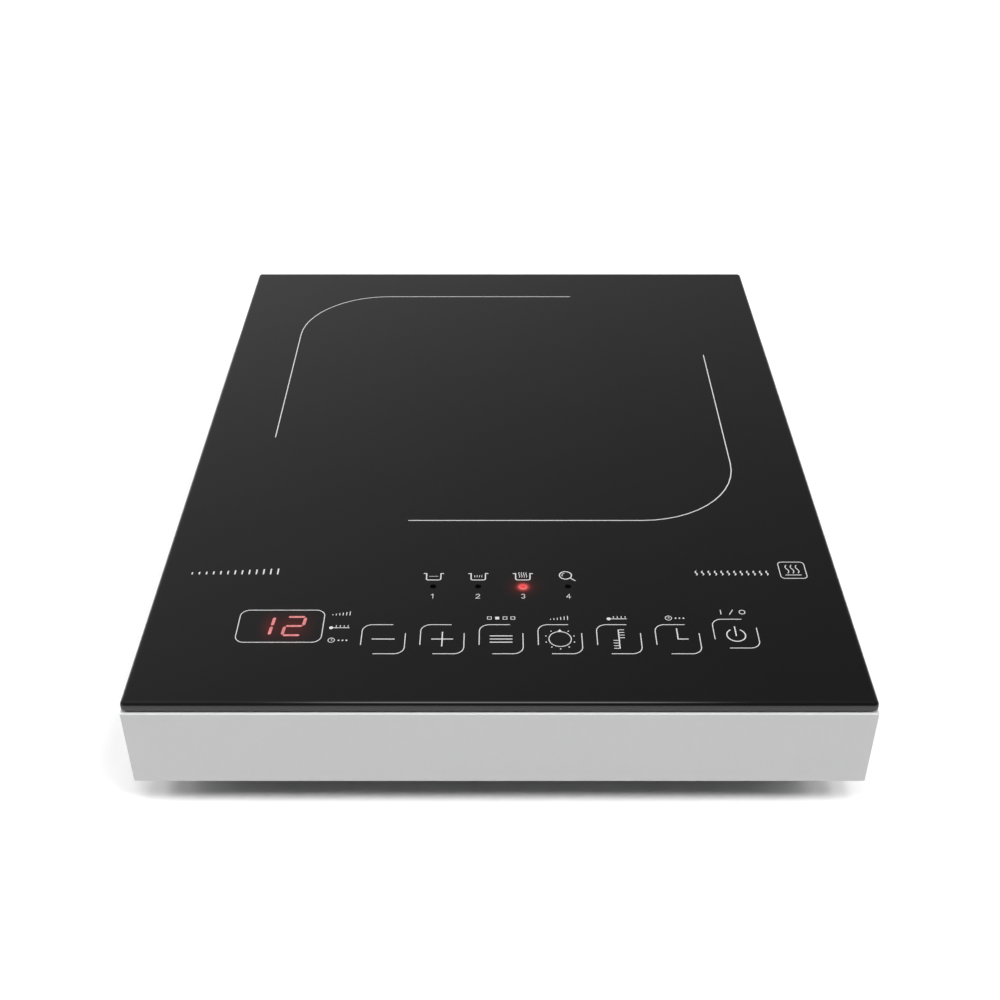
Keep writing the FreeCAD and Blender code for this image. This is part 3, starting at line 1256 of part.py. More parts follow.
def main():
    os.makedirs("parts", exist_ok=True)
    make_glass()
    make_seal()
    make_frame()
    make_corner_keys()
    make_base_pan()
    make_feet()
    make_base_screws()
    make_cord_entry()
    make_fan_rotor()
    make_fan_frame()
    make_fan_stator()
    make_fan_screws()
    make_air_duct()
    make_power_board()
    make_heatsink()
    make_power_devices()
    make_capacitors()
    make_transformer()
    make_varistor()
    make_choke()
    make_fuse()
    make_mains_terminals()
    make_coil_terminals()
    make_connectors()
    make_chips()
    make_former()
    make_winding()
    make_ferrites_and_mica()
    make_sensor()
    make_coil_leads()
    make_small_leads()
    make_ribbon()
    make_control_bracket()
    make_control_board()
    make_touch_pads()
    make_display()
    make_indicators()
    make_buzzer()
    make_inner_screws()


main()
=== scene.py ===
import json
import math

import bmesh
import bpy
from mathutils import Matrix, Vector


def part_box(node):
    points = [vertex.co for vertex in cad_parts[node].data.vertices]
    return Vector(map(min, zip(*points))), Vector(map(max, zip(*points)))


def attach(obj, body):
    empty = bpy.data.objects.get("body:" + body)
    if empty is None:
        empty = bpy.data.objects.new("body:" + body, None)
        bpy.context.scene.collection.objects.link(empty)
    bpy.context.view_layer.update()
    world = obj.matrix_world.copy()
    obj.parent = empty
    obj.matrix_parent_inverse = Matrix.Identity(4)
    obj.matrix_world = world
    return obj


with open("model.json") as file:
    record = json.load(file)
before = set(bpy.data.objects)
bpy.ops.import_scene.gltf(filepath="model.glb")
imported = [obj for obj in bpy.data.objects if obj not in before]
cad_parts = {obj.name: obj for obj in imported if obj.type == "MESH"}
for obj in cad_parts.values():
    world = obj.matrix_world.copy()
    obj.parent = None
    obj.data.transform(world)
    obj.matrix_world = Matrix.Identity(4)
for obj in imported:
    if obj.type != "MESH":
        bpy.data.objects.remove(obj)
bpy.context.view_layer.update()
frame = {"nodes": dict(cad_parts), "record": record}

# Looks of a portable induction cooktop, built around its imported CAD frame.
#
# The CAD nodes keep their shapes and get procedural materials. The marks printed on
# the glass, the lit display and the mode indicators are thin closed meshes placed by
# the CAD parts that lie under them: touch pads, indicator lights and display module.
# Lengths of printed marks are in millimetres; everything else is in metres.

MM = 0.001
HOUSING = "housing"

# Printed marks, in millimetres. The print lies a little to the rear of the parts under it.
MARK_SINK = 0.02
MARK_HEIGHT = 0.04
LAMP_HEIGHT = 0.03
PRINT_SHIFT = 0.35
ARC_STEP = 7.0
CAP_POINTS = 4
DISC_POINTS = 28
MITRE_LIMIT = 0.4
HAIR_STROKE = 0.24
SLIM_STROKE = 0.26
FINE_STROKE = 0.29
SMALL_STROKE = 0.34
THIN_STROKE = 0.36
BOLD_STROKE = 0.48

# Cooking zone: two brackets of a rounded square.
ZONE_HALF = 110.2
ZONE_RADIUS = 46.0
ZONE_REACH = 40.9

# Touch keys: two brackets of a small rounded square round each symbol.
KEY_HALF = 8.8
KEY_RADIUS = 4.0
KEY_REACH = 3.4
SYMBOL_HALF = 4.4
MENU_PITCH = 1.9
DIAL_RADIUS = 4.5
DIAL_DOT_RADIUS = 5.95
DIAL_DOTS = 9
DIAL_DOT_STEP = 36
DIAL_DOT = 0.30
DIAL_POINTER = (0.85, 1.25)
GAUGE_HALF = 5.6
GAUGE_TICK = 2.2
GAUGE_TICKS = 4
GAUGE_PITCH = 1.6
HAND_RISE = 6.4
HAND_REACH = 4.1
POWER_RADIUS = 3.75
POWER_GAP = 33.0
POWER_BAR_TOP = 5.2
POWER_BAR_DROP = 0.4
POWER_DROP = 1.0
KEY_LEGEND_RISE = 12.95
POWER_LEGEND_RISE = 13.3

# Small legends: rising bars, thermometer, clock, squares, and bar, slash and ring.
LEVEL_BARS = 6
LEVEL_PITCH = 1.4
LEVEL_DROP = 1.0
LEVEL_SHORT = 0.35
LEVEL_TALL = 2.2
BULB_X = -3.4
BULB_RADIUS = 0.85
TUBE_DROP = 0.5
TUBE_SPAN = (-2.4, 3.9)
TUBE_TICKS = 4
TUBE_TICK_START = -1.4
TUBE_TICK_SPAN = (0.5, 1.5)
LEGEND_STEP = 1.6
CLOCK_X = -2.6
CLOCK_RADIUS = 1.3
CLOCK_HANDS = (0.5, 0.68)
CLOCK_DOTS = 3
CLOCK_DOT_START = 0.3
CLOCK_DOT_DROP = 0.1
CLOCK_DOT = 0.38
PROGRAM_COUNT = 4
PROGRAM_START = -5.6
PROGRAM_PITCH = 3.2
PROGRAM_SIDE = 1.6
PROGRAM_FILLED = 1
ON_BAR_HALF = 1.2
ON_BAR_STROKE = 0.40
SLASH_HALF = 1.4
SLASH_SPAN = (-0.9, 0.7)
ON_OFF_REACH = 4.4
OFF_RADIUS = 1.2

# Display window and its digits.
WINDOW_HALF_X = 17.3
WINDOW_HALF_Y = 9.95
WINDOW_SHIFT = 1.3
WINDOW_RADIUS = 3.7
DIGIT_PITCH = 12.7
DIGIT_HEIGHT = 12.4
DIGIT_WIDTH = 8.7
DIGIT_SLANT = 0.09
DIGIT_SHIFT = 0.45
SEGMENT_WIDE = 1.28
SEGMENT_FLAT = 1.08
SEGMENT_GAP = 0.26
LEGEND_GAP = 6.8
LEVEL_LEGEND_RISE = 7.8
HEAT_LEGEND_DROP = 0.6
TIME_LEGEND_DROP = 8.7

# Mode indicators above the keys.
LAMP_RADIUS = 1.35
LIT_MODE = 2
MODE_SYMBOL_RISE = 6.55
MODE_NUMERAL_DROP = 6.5
NUMERAL_HALF = 1.35
POT_HALF = 3.05
POT_GRIP = 4.1
POT_TOP = 2.1
POT_FLOOR = -2.25
POT_CORNER = 0.9
WARM_LINE_HALF = 1.8
WARM_LINE_RISE = 0.2
POT_CONTENT_STROKE = 0.22
CONTENT_SHIFTS = (-1.5, -0.5, 0.5, 1.5)
HEAT_DASH_SPAN = (0.75, -0.25)
BOIL_RISE = 1.2
BOIL_WAVE = (0.2, 1.7)
PAN_HUB = (-0.75, 0.9)
PAN_RADIUS = 2.55
PAN_SHINE_RADIUS = 1.5
PAN_SHINE_SWEEP = (110, 200)
PAN_HANDLE = ((1.25, -1.05), (3.2, -2.75))

# Marks at the two sides of the glass, measured from the glass centre.
SCALE_START = -131.2
SCALE_HEIGHT = -105.8
SCALE_BARS = 13
SCALE_PITCH = 3.04
SCALE_SHORT = 0.9
SCALE_TALL = 3.4
SCALE_STROKE = 0.62
HEAT_X = 125.4
HEAT_Y = -103.2
HEAT_HALF = 5.6
HEAT_RADIUS = 1.8
HEAT_LINE_HALF = 3.3
HEAT_WAVE_SHIFTS = (-2.2, 0, 2.2)
HEAT_WAVE_RISE = 0.7
HEAT_WAVE = (0.55, 2.7)
WAVE_STEPS = 16
WAVE_ROW_START = 84.0
WAVE_ROW_STEP = 2.75
WAVE_ROW_WAVE = (0.38, 1.35)
WAVE_ROW_COUNT = 12
WAVE_ROW_Y = -105.2


def centre_of(low, high):
    """Middle of a box, in millimetres in the plane of the glass."""
    return (low.x + high.x) / 2 / MM, (low.y + high.y) / 2 / MM


def loose_boxes(node):
    """Boxes of the separate solids in one CAD node, from left to right."""
    mesh = frame["nodes"][node].data
    places = {}
    owner = []
    for vertex in mesh.vertices:
        spot = tuple(round(length / MM, 2) for length in vertex.co)
        owner.append(places.setdefault(spot, len(places)))
    parent = list(range(len(places)))

    def root(i):
        while parent[i] != i:
            parent[i] = parent[parent[i]]
            i = parent[i]
        return i

    for face in mesh.polygons:
        first = root(owner[face.vertices[0]])
        for other in face.vertices[1:]:
            parent[root(owner[other])] = first
    boxes = {}
    for spot, i in places.items():
        low, high = boxes.setdefault(root(i), (Vector(spot), Vector(spot)))
        for axis in range(3):
            low[axis] = min(low[axis], spot[axis])
            high[axis] = max(high[axis], spot[axis])
    ordered = sorted(boxes.values(), key=lambda box: box[0].x)
    return [(low * MM, high * MM) for low, high in ordered]


glass_low, glass_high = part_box("glass_top")
GLASS_TOP = glass_high.z
RAIL_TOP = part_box("front_rail")[1].z
zone_mount = next(m for m in frame["record"]["mounts"] if m["name"] == "cooking_surface")
ZONE_CENTRE = (zone_mount["pos_m"][0] / MM, zone_mount["pos_m"][1] / MM)
GLASS_CENTRE = centre_of(glass_low, glass_high)
KEY_CENTRES = [centre_of(*box) for box in loose_boxes("touch_pads")]
LAMP_CENTRES = [centre_of(*box) for box in loose_boxes("indicator_leds")]
DISPLAY_CENTRE = centre_of(*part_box("display_module"))


# ---------------------------------------------------------------- printed marks


def arc(x, y, radius, start, end):
    """Points along an arc, in degrees counter-clockwise from +X."""
    count = max(2, math.ceil(abs(end - start) / ARC_STEP))
    angles = [math.radians(start + (end - start) * i / count) for i in range(count + 1)]
    return [(x + radius * math.cos(a), y + radius * math.sin(a)) for a in angles]


def on_circle(x, y, radius, angle):
    """The point of a circle at an angle in degrees."""
    return arc(x, y, radius, angle, angle)[0]


def circle(x, y, radius):
    """Points round a circle."""
    return arc(x, y, radius, 0, 360)[:-1]


def rounded_ring(x, y, half_x, half_y, radius):
    """Points round an upright rectangle with round corners."""
    path = []
    for across, up, start in ((1, 1, 0), (-1, 1, 90), (-1, -1, 180), (1, -1, 270)):
        hub_x = x + across * (half_x - radius)
        hub_y = y + up * (half_y - radius)
        path += arc(hub_x, hub_y, radius, start, start + 90)
    return path


def rounded(points, radius):
    """An open path through points with its inner corners rounded."""
    path = [points[0]]
    for before, corner, after in zip(points, points[1:], points[2:]):
        middle = Vector(corner)
        back = (Vector(before) - middle).normalized()
        ahead = (Vector(after) - middle).normalized()
        half_turn = back.angle(ahead) / 2
        inset = radius / math.tan(half_turn)
        hub = middle + (back + ahead).normalized() * (radius / math.sin(half_turn))
        start = middle + back * inset - hub
        end = middle + ahead * inset - hub
        sweep = math.degrees(start.angle_signed(end))
        count = max(2, math.ceil(abs(sweep) / ARC_STEP))
        first = math.atan2(start.y, start.x)
        for i in range(count + 1):
            angle = first - math.radians(sweep) * i / count
            path.append((hub.x + radius * math.cos(angle), hub.y + radius * math.sin(angle)))
    return path + [points[-1]]


def opposite(points, x, y):
    """Points turned half a turn about a centre."""
    return [(2 * x - px, 2 * y - py) for px, py in points]


class Ink:
    """Flat marks gathered into one mesh of thin closed slabs."""

    def __init__(self):
        self.corners = []
        self.faces = []

    def slab(self, loops, fills):
        """One slab: loops are its closed outlines, fills the faces that cover it."""
        flat = [tuple(point) for loop in loops for point in loop]
        top = len(self.corners)
        base = top + len(flat)
        self.corners += [(x, y, 1) for x, y in flat] + [(x, y, 0) for x, y in flat]
        for fill in fills:
            self.faces.append([top + i for i in fill])
            self.faces.append([base + i for i in reversed(fill)])
        start = 0
        for loop in loops:
            for i in range(len(loop)):
                a = start + i
                b = start + (i + 1) % len(loop)
                self.faces.append([top + a, base + a, base + b, top + b])
            start += len(loop)

    def area(self, points):
        """A filled outline."""
        self.slab([points], [list(range(len(points)))])

    def disc(self, x, y, radius):
        """A filled circle."""
        step = 360 / DISC_POINTS
        self.area([on_circle(x, y, radius, i * step) for i in range(DISC_POINTS)])

    def line(self, points, width, closed=False):
        """A stroke with round ends along points, or a closed ring of one width."""
        path = [Vector(p) for p in points]
        count = len(path)
        right, left = [], []
        for i, point in enumerate(path):
            inward = (point - path[i - 1]).normalized() if closed or i else None
            outward = (path[(i + 1) % count] - point).normalized() if closed or i < count - 1 else None
            inward = inward or outward
            outward = outward or inward
            normal_in = Vector((inward.y, -inward.x))
            normal_out = Vector((outward.y, -outward.x))
            mitre = (normal_in + normal_out).normalized()
            offset = mitre * (width / 2 / max(mitre.dot(normal_in), MITRE_LIMIT))
            right.append(point + offset)
            left.append(point - offset)
        if closed:
            loops = [right, left[::-1]]
            quads = [
                [i, (i + 1) % count, 2 * count - 1 - (i + 1) % count, 2 * count - 1 - i]
                for i in range(count)
            ]
            self.slab(loops, quads)
            return
        caps = []
        for tip, side in ((path[-1], right[-1]), (path[0], left[0])):
            spoke = side - tip
            start = math.degrees(math.atan2(spoke.y, spoke.x))
            turn = 180 / (CAP_POINTS + 1)
            caps.append([
                on_circle(tip.x, tip.y, width / 2, start + turn * (k + 1)) for k in range(CAP_POINTS)
            ])
        outline = right + caps[0] + left[::-1] + caps[1]
        mirror = 2 * count + CAP_POINTS - 1
        quads = [[i, i + 1, mirror - i - 1, mirror - i] for i in range(count - 1)]
        end_fan = list(range(count - 1, count + CAP_POINTS + 1))
        start_fan = list(range(mirror, mirror + CAP_POINTS + 1)) + [0]
        self.slab([outline], quads + [end_fan, start_fan])

    def piece(self, name, material, height=MARK_HEIGHT):
        """Turns the marks into an object that lies on the glass and rides with it."""
        mesh = bpy.data.meshes.new(name)
        low = GLASS_TOP - MARK_SINK * MM
        high = GLASS_TOP + height * MM
        corners = [
            (x * MM, (y + PRINT_SHIFT) * MM, high if level else low) for x, y, level in self.corners
        ]
        mesh.from_pydata(corners, [], self.faces)
        shape = bmesh.new()
        shape.from_mesh(mesh)
        bmesh.ops.recalc_face_normals(shape, faces=shape.faces)
        shape.to_mesh(mesh)
        shape.free()
        mesh.materials.append(material)
        made = bpy.data.objects.new(name, mesh)
        bpy.context.scene.collection.objects.link(made)
        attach(made, HOUSING)


def bracket_pair(ink, x, y, half, radius, reach, width):
    """Two opposite corners of a rounded square, at its right front and its left rear."""
    path = rounded([(x + half, y + reach), (x + half, y - half), (x - reach, y - half)], radius)
    ink.line(path, width)
    ink.line(opposite(path, x, y), width)


def bars(ink, x, y, count, pitch, short, tall, width):
    """Rising bars that stand on one line, from left to right."""
    for i in range(count):
        rise = short + (tall - short) * i / (count - 1)
        ink.line([(x + i * pitch, y), (x + i * pitch, y + rise)], width)


def level_mark(ink, x, y):
    """Small rising bars."""
    left = x - LEVEL_PITCH * (LEVEL_BARS - 1) / 2
    bars(ink, left, y - LEVEL_DROP, LEVEL_BARS, LEVEL_PITCH, LEVEL_SHORT, LEVEL_TALL, SMALL_STROKE)


def thermometer_mark(ink, x, y):
    """A lying thermometer."""
    low = y - TUBE_DROP
    ink.disc(x + BULB_X, low, BULB_RADIUS)
    ink.line([(x + end, low) for end in TUBE_SPAN], THIN_STROKE)
    for i in range(TUBE_TICKS):
        tick = x + TUBE_TICK_START + LEGEND_STEP * i
        ink.line([(tick, low + end) for end in TUBE_TICK_SPAN], FINE_STROKE)


def clock_mark(ink, x, y):
    """A small clock face and a row of dots."""
    hub = x + CLOCK_X
    across, up = CLOCK_HANDS
    ink.line(circle(hub, y, CLOCK_RADIUS), FINE_STROKE, closed=True)
    ink.line([(hub, y + up), (hub, y), (hub + across, y)], HAIR_STROKE)
    for i in range(CLOCK_DOTS):
        ink.disc(x + CLOCK_DOT_START + LEGEND_STEP * i, y - CLOCK_DOT_DROP, CLOCK_DOT)


def program_mark(ink, x, y):
    """A row of small squares, one of them filled."""
    low = y - PROGRAM_SIDE / 2
    high = low + PROGRAM_SIDE
    for i in range(PROGRAM_COUNT):
        left = x + PROGRAM_START + PROGRAM_PITCH * i
        right = left + PROGRAM_SIDE
        square = [(left, low), (right, low), (right, high), (left, high)]
        if i == PROGRAM_FILLED:
            ink.area(square)
        else:
            ink.line(square, SLIM_STROKE, closed=True)


def on_off_mark(ink, x, y):
    """An upright bar, a slash and a ring."""
    bar = x - ON_OFF_REACH
    low, high = SLASH_SPAN
    ink.line([(bar, y - ON_BAR_HALF), (bar, y + ON_BAR_HALF)], ON_BAR_STROKE)
    ink.line([(x + low, y - SLASH_HALF), (x + high, y + SLASH_HALF)], SMALL_STROKE)
    ink.line(circle(x + ON_OFF_REACH, y, OFF_RADIUS), SMALL_STROKE, closed=True)


def wave(x, y, half_width, half_height):
    """An upright wavy path with two bends."""
    path = []
    for i in range(WAVE_STEPS + 1):
        sway = math.sin(2 * math.pi * i / WAVE_STEPS)
        path.append((x + half_width * sway, y - half_height + 2 * half_height * i / WAVE_STEPS))
    return path


def minus_sign(ink, x, y):
    """A level bar."""
    ink.line([(x - SYMBOL_HALF, y), (x + SYMBOL_HALF, y)], BOLD_STROKE)


def plus_sign(ink, x, y):
    """A cross, as one outline of twelve corners."""
    long, thin = SYMBOL_HALF, BOLD_STROKE / 2
    outline = (
        (thin, thin), (thin, long), (-thin, long), (-thin, thin), (-long, thin), (-long, -thin),
        (-thin, -thin), (-thin, -long), (thin, -long), (thin, -thin), (long, -thin), (long, thin),
    )
    ink.area([(x + across, y + up) for across, up in outline])


def menu_sign(ink, x, y):
    """Three level bars."""
    for row in (-1, 0, 1):
        minus_sign(ink, x, y + row * MENU_PITCH)


def dial_sign(ink, x, y):
    """A control knob: ring, pointer and a circle of dots."""
    ink.line(circle(x, y, DIAL_RADIUS), THIN_STROKE, closed=True)
    half, tall = DIAL_POINTER
    foot = y + DIAL_RADIUS + THIN_STROKE / 2
    ink.area([(x - half, foot), (x + half, foot), (x, foot + tall)])
    for turn in range(1, DIAL_DOTS + 1):
        ink.disc(*on_circle(x, y, DIAL_DOT_RADIUS, 90 + turn * DIAL_DOT_STEP), DIAL_DOT)


def gauge_sign(ink, x, y):
    """A temperature scale: an upright line with steps right above and left below."""
    half = BOLD_STROKE / 2
    ink.line([(x, y + GAUGE_HALF), (x, y - GAUGE_HALF)], BOLD_STROKE)
    for i in range(GAUGE_TICKS):
        high = y + GAUGE_HALF - GAUGE_PITCH * i
        low = y - GAUGE_HALF + GAUGE_PITCH * i
        ink.line([(x + half, high), (x + GAUGE_TICK, high)], THIN_STROKE)
        ink.line([(x - half, low), (x - GAUGE_TICK, low)], THIN_STROKE)


def timer_sign(ink, x, y):
    """Two clock hands."""
    ink.line([(x, y + HAND_RISE), (x, y), (x + HAND_REACH, y)], BOLD_STROKE)


def power_sign(ink, x, y):
    """A ring open at the top with a bar in the gap."""
    low = y - POWER_DROP
    ink.line(arc(x, low, POWER_RADIUS, 90 + POWER_GAP, 450 - POWER_GAP), BOLD_STROKE)
    ink.line([(x, low + POWER_BAR_TOP), (x, low - POWER_BAR_DROP)], BOLD_STROKE)


def pot_outline(ink, x, y):
    """A pot seen from the side, with two grips."""
    left = [(x - POT_GRIP, y + POT_TOP), (x - POT_HALF, y + POT_TOP)]
    floor = [(x - POT_HALF, y + POT_FLOOR), (x + POT_HALF, y + POT_FLOOR)]
    right = [(x + POT_HALF, y + POT_TOP), (x + POT_GRIP, y + POT_TOP)]
    body = rounded([left[1], *floor, right[0]], POT_CORNER)
    ink.line([left[0], *body, right[1]], BOLD_STROKE)


def keep_warm_sign(ink, x, y):
    """A pot with a still surface."""
    pot_outline(ink, x, y)
    level = y + WARM_LINE_RISE
    ink.line([(x - WARM_LINE_HALF, level), (x + WARM_LINE_HALF, level)], POT_CONTENT_STROKE)


def heat_sign(ink, x, y):
    """A pot with short dashes in it."""
    pot_outline(ink, x, y)
    for shift in CONTENT_SHIFTS:
        ink.line([(x + shift, y + end) for end in HEAT_DASH_SPAN], FINE_STROKE)


def boil_sign(ink, x, y):
    """A pot with rising steam."""
    pot_outline(ink, x, y)
    for shift in CONTENT_SHIFTS:
        ink.line(wave(x + shift, y + BOIL_RISE, *BOIL_WAVE), SLIM_STROKE)


def fry_sign(ink, x, y):
    """A frying pan seen from above, with a shine on it."""
    hub_x = x + PAN_HUB[0]
    hub_y = y + PAN_HUB[1]
    ink.line(circle(hub_x, hub_y, PAN_RADIUS), BOLD_STROKE, closed=True)
    ink.line([(x + across, y + up) for across, up in PAN_HANDLE], BOLD_STROKE)
    ink.line(arc(hub_x, hub_y, PAN_SHINE_RADIUS, *PAN_SHINE_SWEEP), FINE_STROKE)


MODE_SIGNS = (keep_warm_sign, heat_sign, boil_sign, fry_sign)


def numeral(ink, number, x, y):
    """One of the numbers 1 to 4, drawn two units tall and then scaled."""
    if number == 1:
        path = [(-0.42, 0.62), (0.12, 1.0), (0.12, -1.0)]
    elif number == 2:
        path = arc(0, 0.46, 0.54, 170, -35) + [(-0.6, -1.0), (0.6, -1.0)]
    elif number == 3:
        path = arc(-0.04, 0.5, 0.5, 150, -80) + arc(-0.04, -0.47, 0.53, 80, -150)
    else:
        path = [(0.28, -1.0), (0.28, 1.0), (-0.62, -0.42), (0.66, -0.42)]
    ink.line([(x + NUMERAL_HALF * px, y + NUMERAL_HALF * py) for px, py in path], FINE_STROKE)


# Seven-segment digits: each segment's middle in half widths and half heights, and if it lies flat.
SEGMENTS = {
    "top": (0, 1, True),
    "top_right": (1, 0.5, False),
    "low_right": (1, -0.5, False),
    "low": (0, -1, True),
    "low_left": (-1, -0.5, False),
    "middle": (0, 0, True),
}
SHOWN_DIGITS = (
    ("top_right", "low_right"),
    ("top", "top_right", "middle", "low_left", "low"),
)


def segment(ink, x, y, name):
    """One lit bar of a digit, with pointed ends, leaning with the digit."""
    across, up, flat = SEGMENTS[name]
    half_width = (DIGIT_WIDTH - SEGMENT_WIDE) / 2
    half_height = (DIGIT_HEIGHT - SEGMENT_FLAT) / 2
    mid_x = across * half_width
    mid_y = up * half_height
    if flat:
        long, thick = half_width - SEGMENT_GAP, SEGMENT_FLAT / 2
    else:
        long, thick = half_height / 2 - SEGMENT_GAP, SEGMENT_WIDE / 2
    neck = long - thick
    shape = [(-long, 0), (-neck, -thick), (neck, -thick), (long, 0), (neck, thick), (-neck, thick)]
    if not flat:
        shape = [(-rise, run) for run, rise in shape]
    placed = []
    for run, rise in shape:
        height = mid_y + rise
        placed.append((x + mid_x + run + DIGIT_SLANT * height, y + height))
    ink.area(placed)


# ---------------------------------------------------------------- materials


def add(tree, kind, inputs, **settings):
    """A shader node with its settings and its inputs, each linked or set."""
    node = tree.nodes.new("ShaderNode" + kind)
    for name, value in settings.items():
        setattr(node, name, value)
    for name, value in inputs.items():
        if isinstance(value, bpy.types.NodeSocket):
            tree.links.new(value, node.inputs[name])
        else:
            node.inputs[name].default_value = value
    return node


def new_material(name):
    """A node material, its tree, its shader and the object's own coordinates."""
    material = bpy.data.materials.new(name)
    material.use_nodes = True
    tree = material.node_tree
    place = add(tree, "TexCoord", {}).outputs["Object"]
    return material, tree, tree.nodes["Principled BSDF"], place


def noise(tree, place, feature, detail=3.0, stretch=None):
    """Noise whose features have a size in millimetres, longer along the stretched axes."""
    if stretch:
        shrink = [1 / s for s in stretch]
        place = add(tree, "Mapping", {"Vector": place, "Scale": shrink}).outputs["Vector"]
    made = add(tree, "TexNoise", {"Vector": place, "Scale": 1 / (feature * MM), "Detail": detail})
    return made.outputs["Fac"]


def ramped(tree, factor, low, high, start=0.3, end=0.7):
    """A value that goes from low to high as the factor goes from start to end."""
    made = add(tree, "MapRange", {
        "Value": factor, "From Min": start, "From Max": end, "To Min": low, "To Max": high,
    })
    return made.outputs["Result"]


def smooth_ramp(tree, factor, start, end, low, high):
    """A value that eases from low to high as the factor goes from start to end."""
    return add(tree, "MapRange", {
        "Value": factor, "From Min": start, "From Max": end, "To Min": low, "To Max": high,
    }, interpolation_type="SMOOTHSTEP").outputs["Result"]


def sum_of(tree, first, *others):
    """The sum of several values."""
    total = first
    for other in others:
        total = add(tree, "Math", {0: total, 1: other}, operation="ADD").outputs[0]
    return total


def product_of(tree, first, *others):
    """The product of several values."""
    total = first
    for other in others:
        total = add(tree, "Math", {0: total, 1: other}, operation="MULTIPLY").outputs[0]
    return total


def size_of(tree, value):
    """A value without its sign."""
    return add(tree, "Math", {0: value}, operation="ABSOLUTE").outputs[0]


def blended(tree, factor, dark, light):
    """A colour between dark and light."""
    made = add(tree, "Mix", {}, data_type="RGBA")
    tree.links.new(factor, made.inputs[0])
    made.inputs[6].default_value = (*dark, 1)
    made.inputs[7].default_value = (*light, 1)
    return made.outputs[2]


WAVE_SCALE = 0.3
SHEEN_SCALE = 0.4


def relief_height(tree, place, kind, feature, stretch):
    """The height pattern of a surface, from 0 to 1."""
    if kind == "grain":
        return noise(tree, place, feature, 4.0, stretch)
    if kind == "pebble":
        cells = add(tree, "TexVoronoi", {"Vector": place, "Scale": 1 / (feature * MM)})
        return ramped(tree, cells.outputs["Distance"], 1.0, 0.0, 0.0, 0.8)
    scale = WAVE_SCALE / (feature * MM)
    if kind == "weave":
        turned = add(tree, "Mapping", {"Vector": place, "Scale": (-1, 1, 1)}).outputs["Vector"]
        warp = add(tree, "TexWave", {"Vector": place, "Scale": scale}, bands_direction="DIAGONAL")
        weft = add(tree, "TexWave", {"Vector": turned, "Scale": scale}, bands_direction="DIAGONAL")
        return product_of(tree, warp.outputs["Fac"], weft.outputs["Fac"])
    made = add(tree, "TexWave", {
        "Vector": place, "Scale": scale, "Distortion": 0.6, "Detail": 1.0,
    }, bands_direction=kind)
    return made.outputs["Fac"]


def surface(name, dark, light, rough, mottle, relief, stretch=None, **constants):
    """A procedural finish: tone and gloss vary softly, and fine relief breaks the light.

    dark and light bound the colour, rough bounds the roughness, mottle is the size of
    the tone patches in millimetres, and relief names its pattern, size and depth. The
    constants are shader sockets with one value all over.
    """
    material, tree, shader, place = new_material(name)
    patches = noise(tree, place, mottle, 5.0, stretch)
    tree.links.new(blended(tree, ramped(tree, patches, 0.0, 1.0), dark, light), shader.inputs["Base Color"])
    sheen = noise(tree, place, mottle * SHEEN_SCALE, 3.0, stretch)
    tree.links.new(ramped(tree, sheen, *rough), shader.inputs["Roughness"])
    kind, feature, depth = relief
    height = relief_height(tree, place, kind, feature, stretch)
    bump = add(tree, "Bump", {"Height": height, "Distance": depth * MM, "Strength": 1.0})
    tree.links.new(bump.outputs["Normal"], shader.inputs["Normal"])
    for socket, value in constants.items():
        shader.inputs[socket].default_value = value
    return material


def grey(value, blue=1.0):
    """A grey, a little warmer or cooler as blue is under or over one."""
    return (value, value, value * blue)


def glow(tree, place, x, y, wide, tall, strength):
    """A soft round bell, strongest at x, y in millimetres; on the glass it paints a glow."""
    parts = add(tree, "SeparateXYZ", {"Vector": place})
    squares = []
    for axis, middle, size in (("X", x, wide), ("Y", y, tall)):
        shifted = add(tree, "Math", {0: parts.outputs[axis], 1: middle * MM}, operation="SUBTRACT")
        scaled = add(tree, "Math", {0: shifted.outputs[0], 1: size * MM}, operation="DIVIDE")
        squares.append(add(tree, "Math", {0: scaled.outputs[0], 1: 2.0}, operation="POWER").outputs[0])
    fall = product_of(tree, sum_of(tree, *squares), -1.0)
    bell = add(tree, "Math", {0: fall}, operation="EXPONENT").outputs[0]
    return product_of(tree, bell, strength)


# Painted red glow on the glass round the lit lamp and the digits, standing in for light that seeps into it:
# shift from its source, half width, half height, strength.
GLASS_INDEX = 1.52
GLASS_GLOSS = 0.5
GLASS_SIDE_GLOSS = 0.04
GLASS_SIDE_BAND = (1.4, 0.6)
LAMP_GLOWS = ((0.0, 1.8, 1.8, 1.35), (0.0, 5.0, 5.0, 0.05))
DIGIT_GLOWS = ((DIGIT_PITCH / 2, 6.2, 7.0, 0.055), (3.5 - DIGIT_PITCH / 2, 3.0, 6.6, 0.050))
LAMP_TINT = (2.2, 2.2, 1.1)
GLOW_RED = (1.0, 0.030, 0.022)
GLOW_PINK = (1.0, 0.30, 0.29)


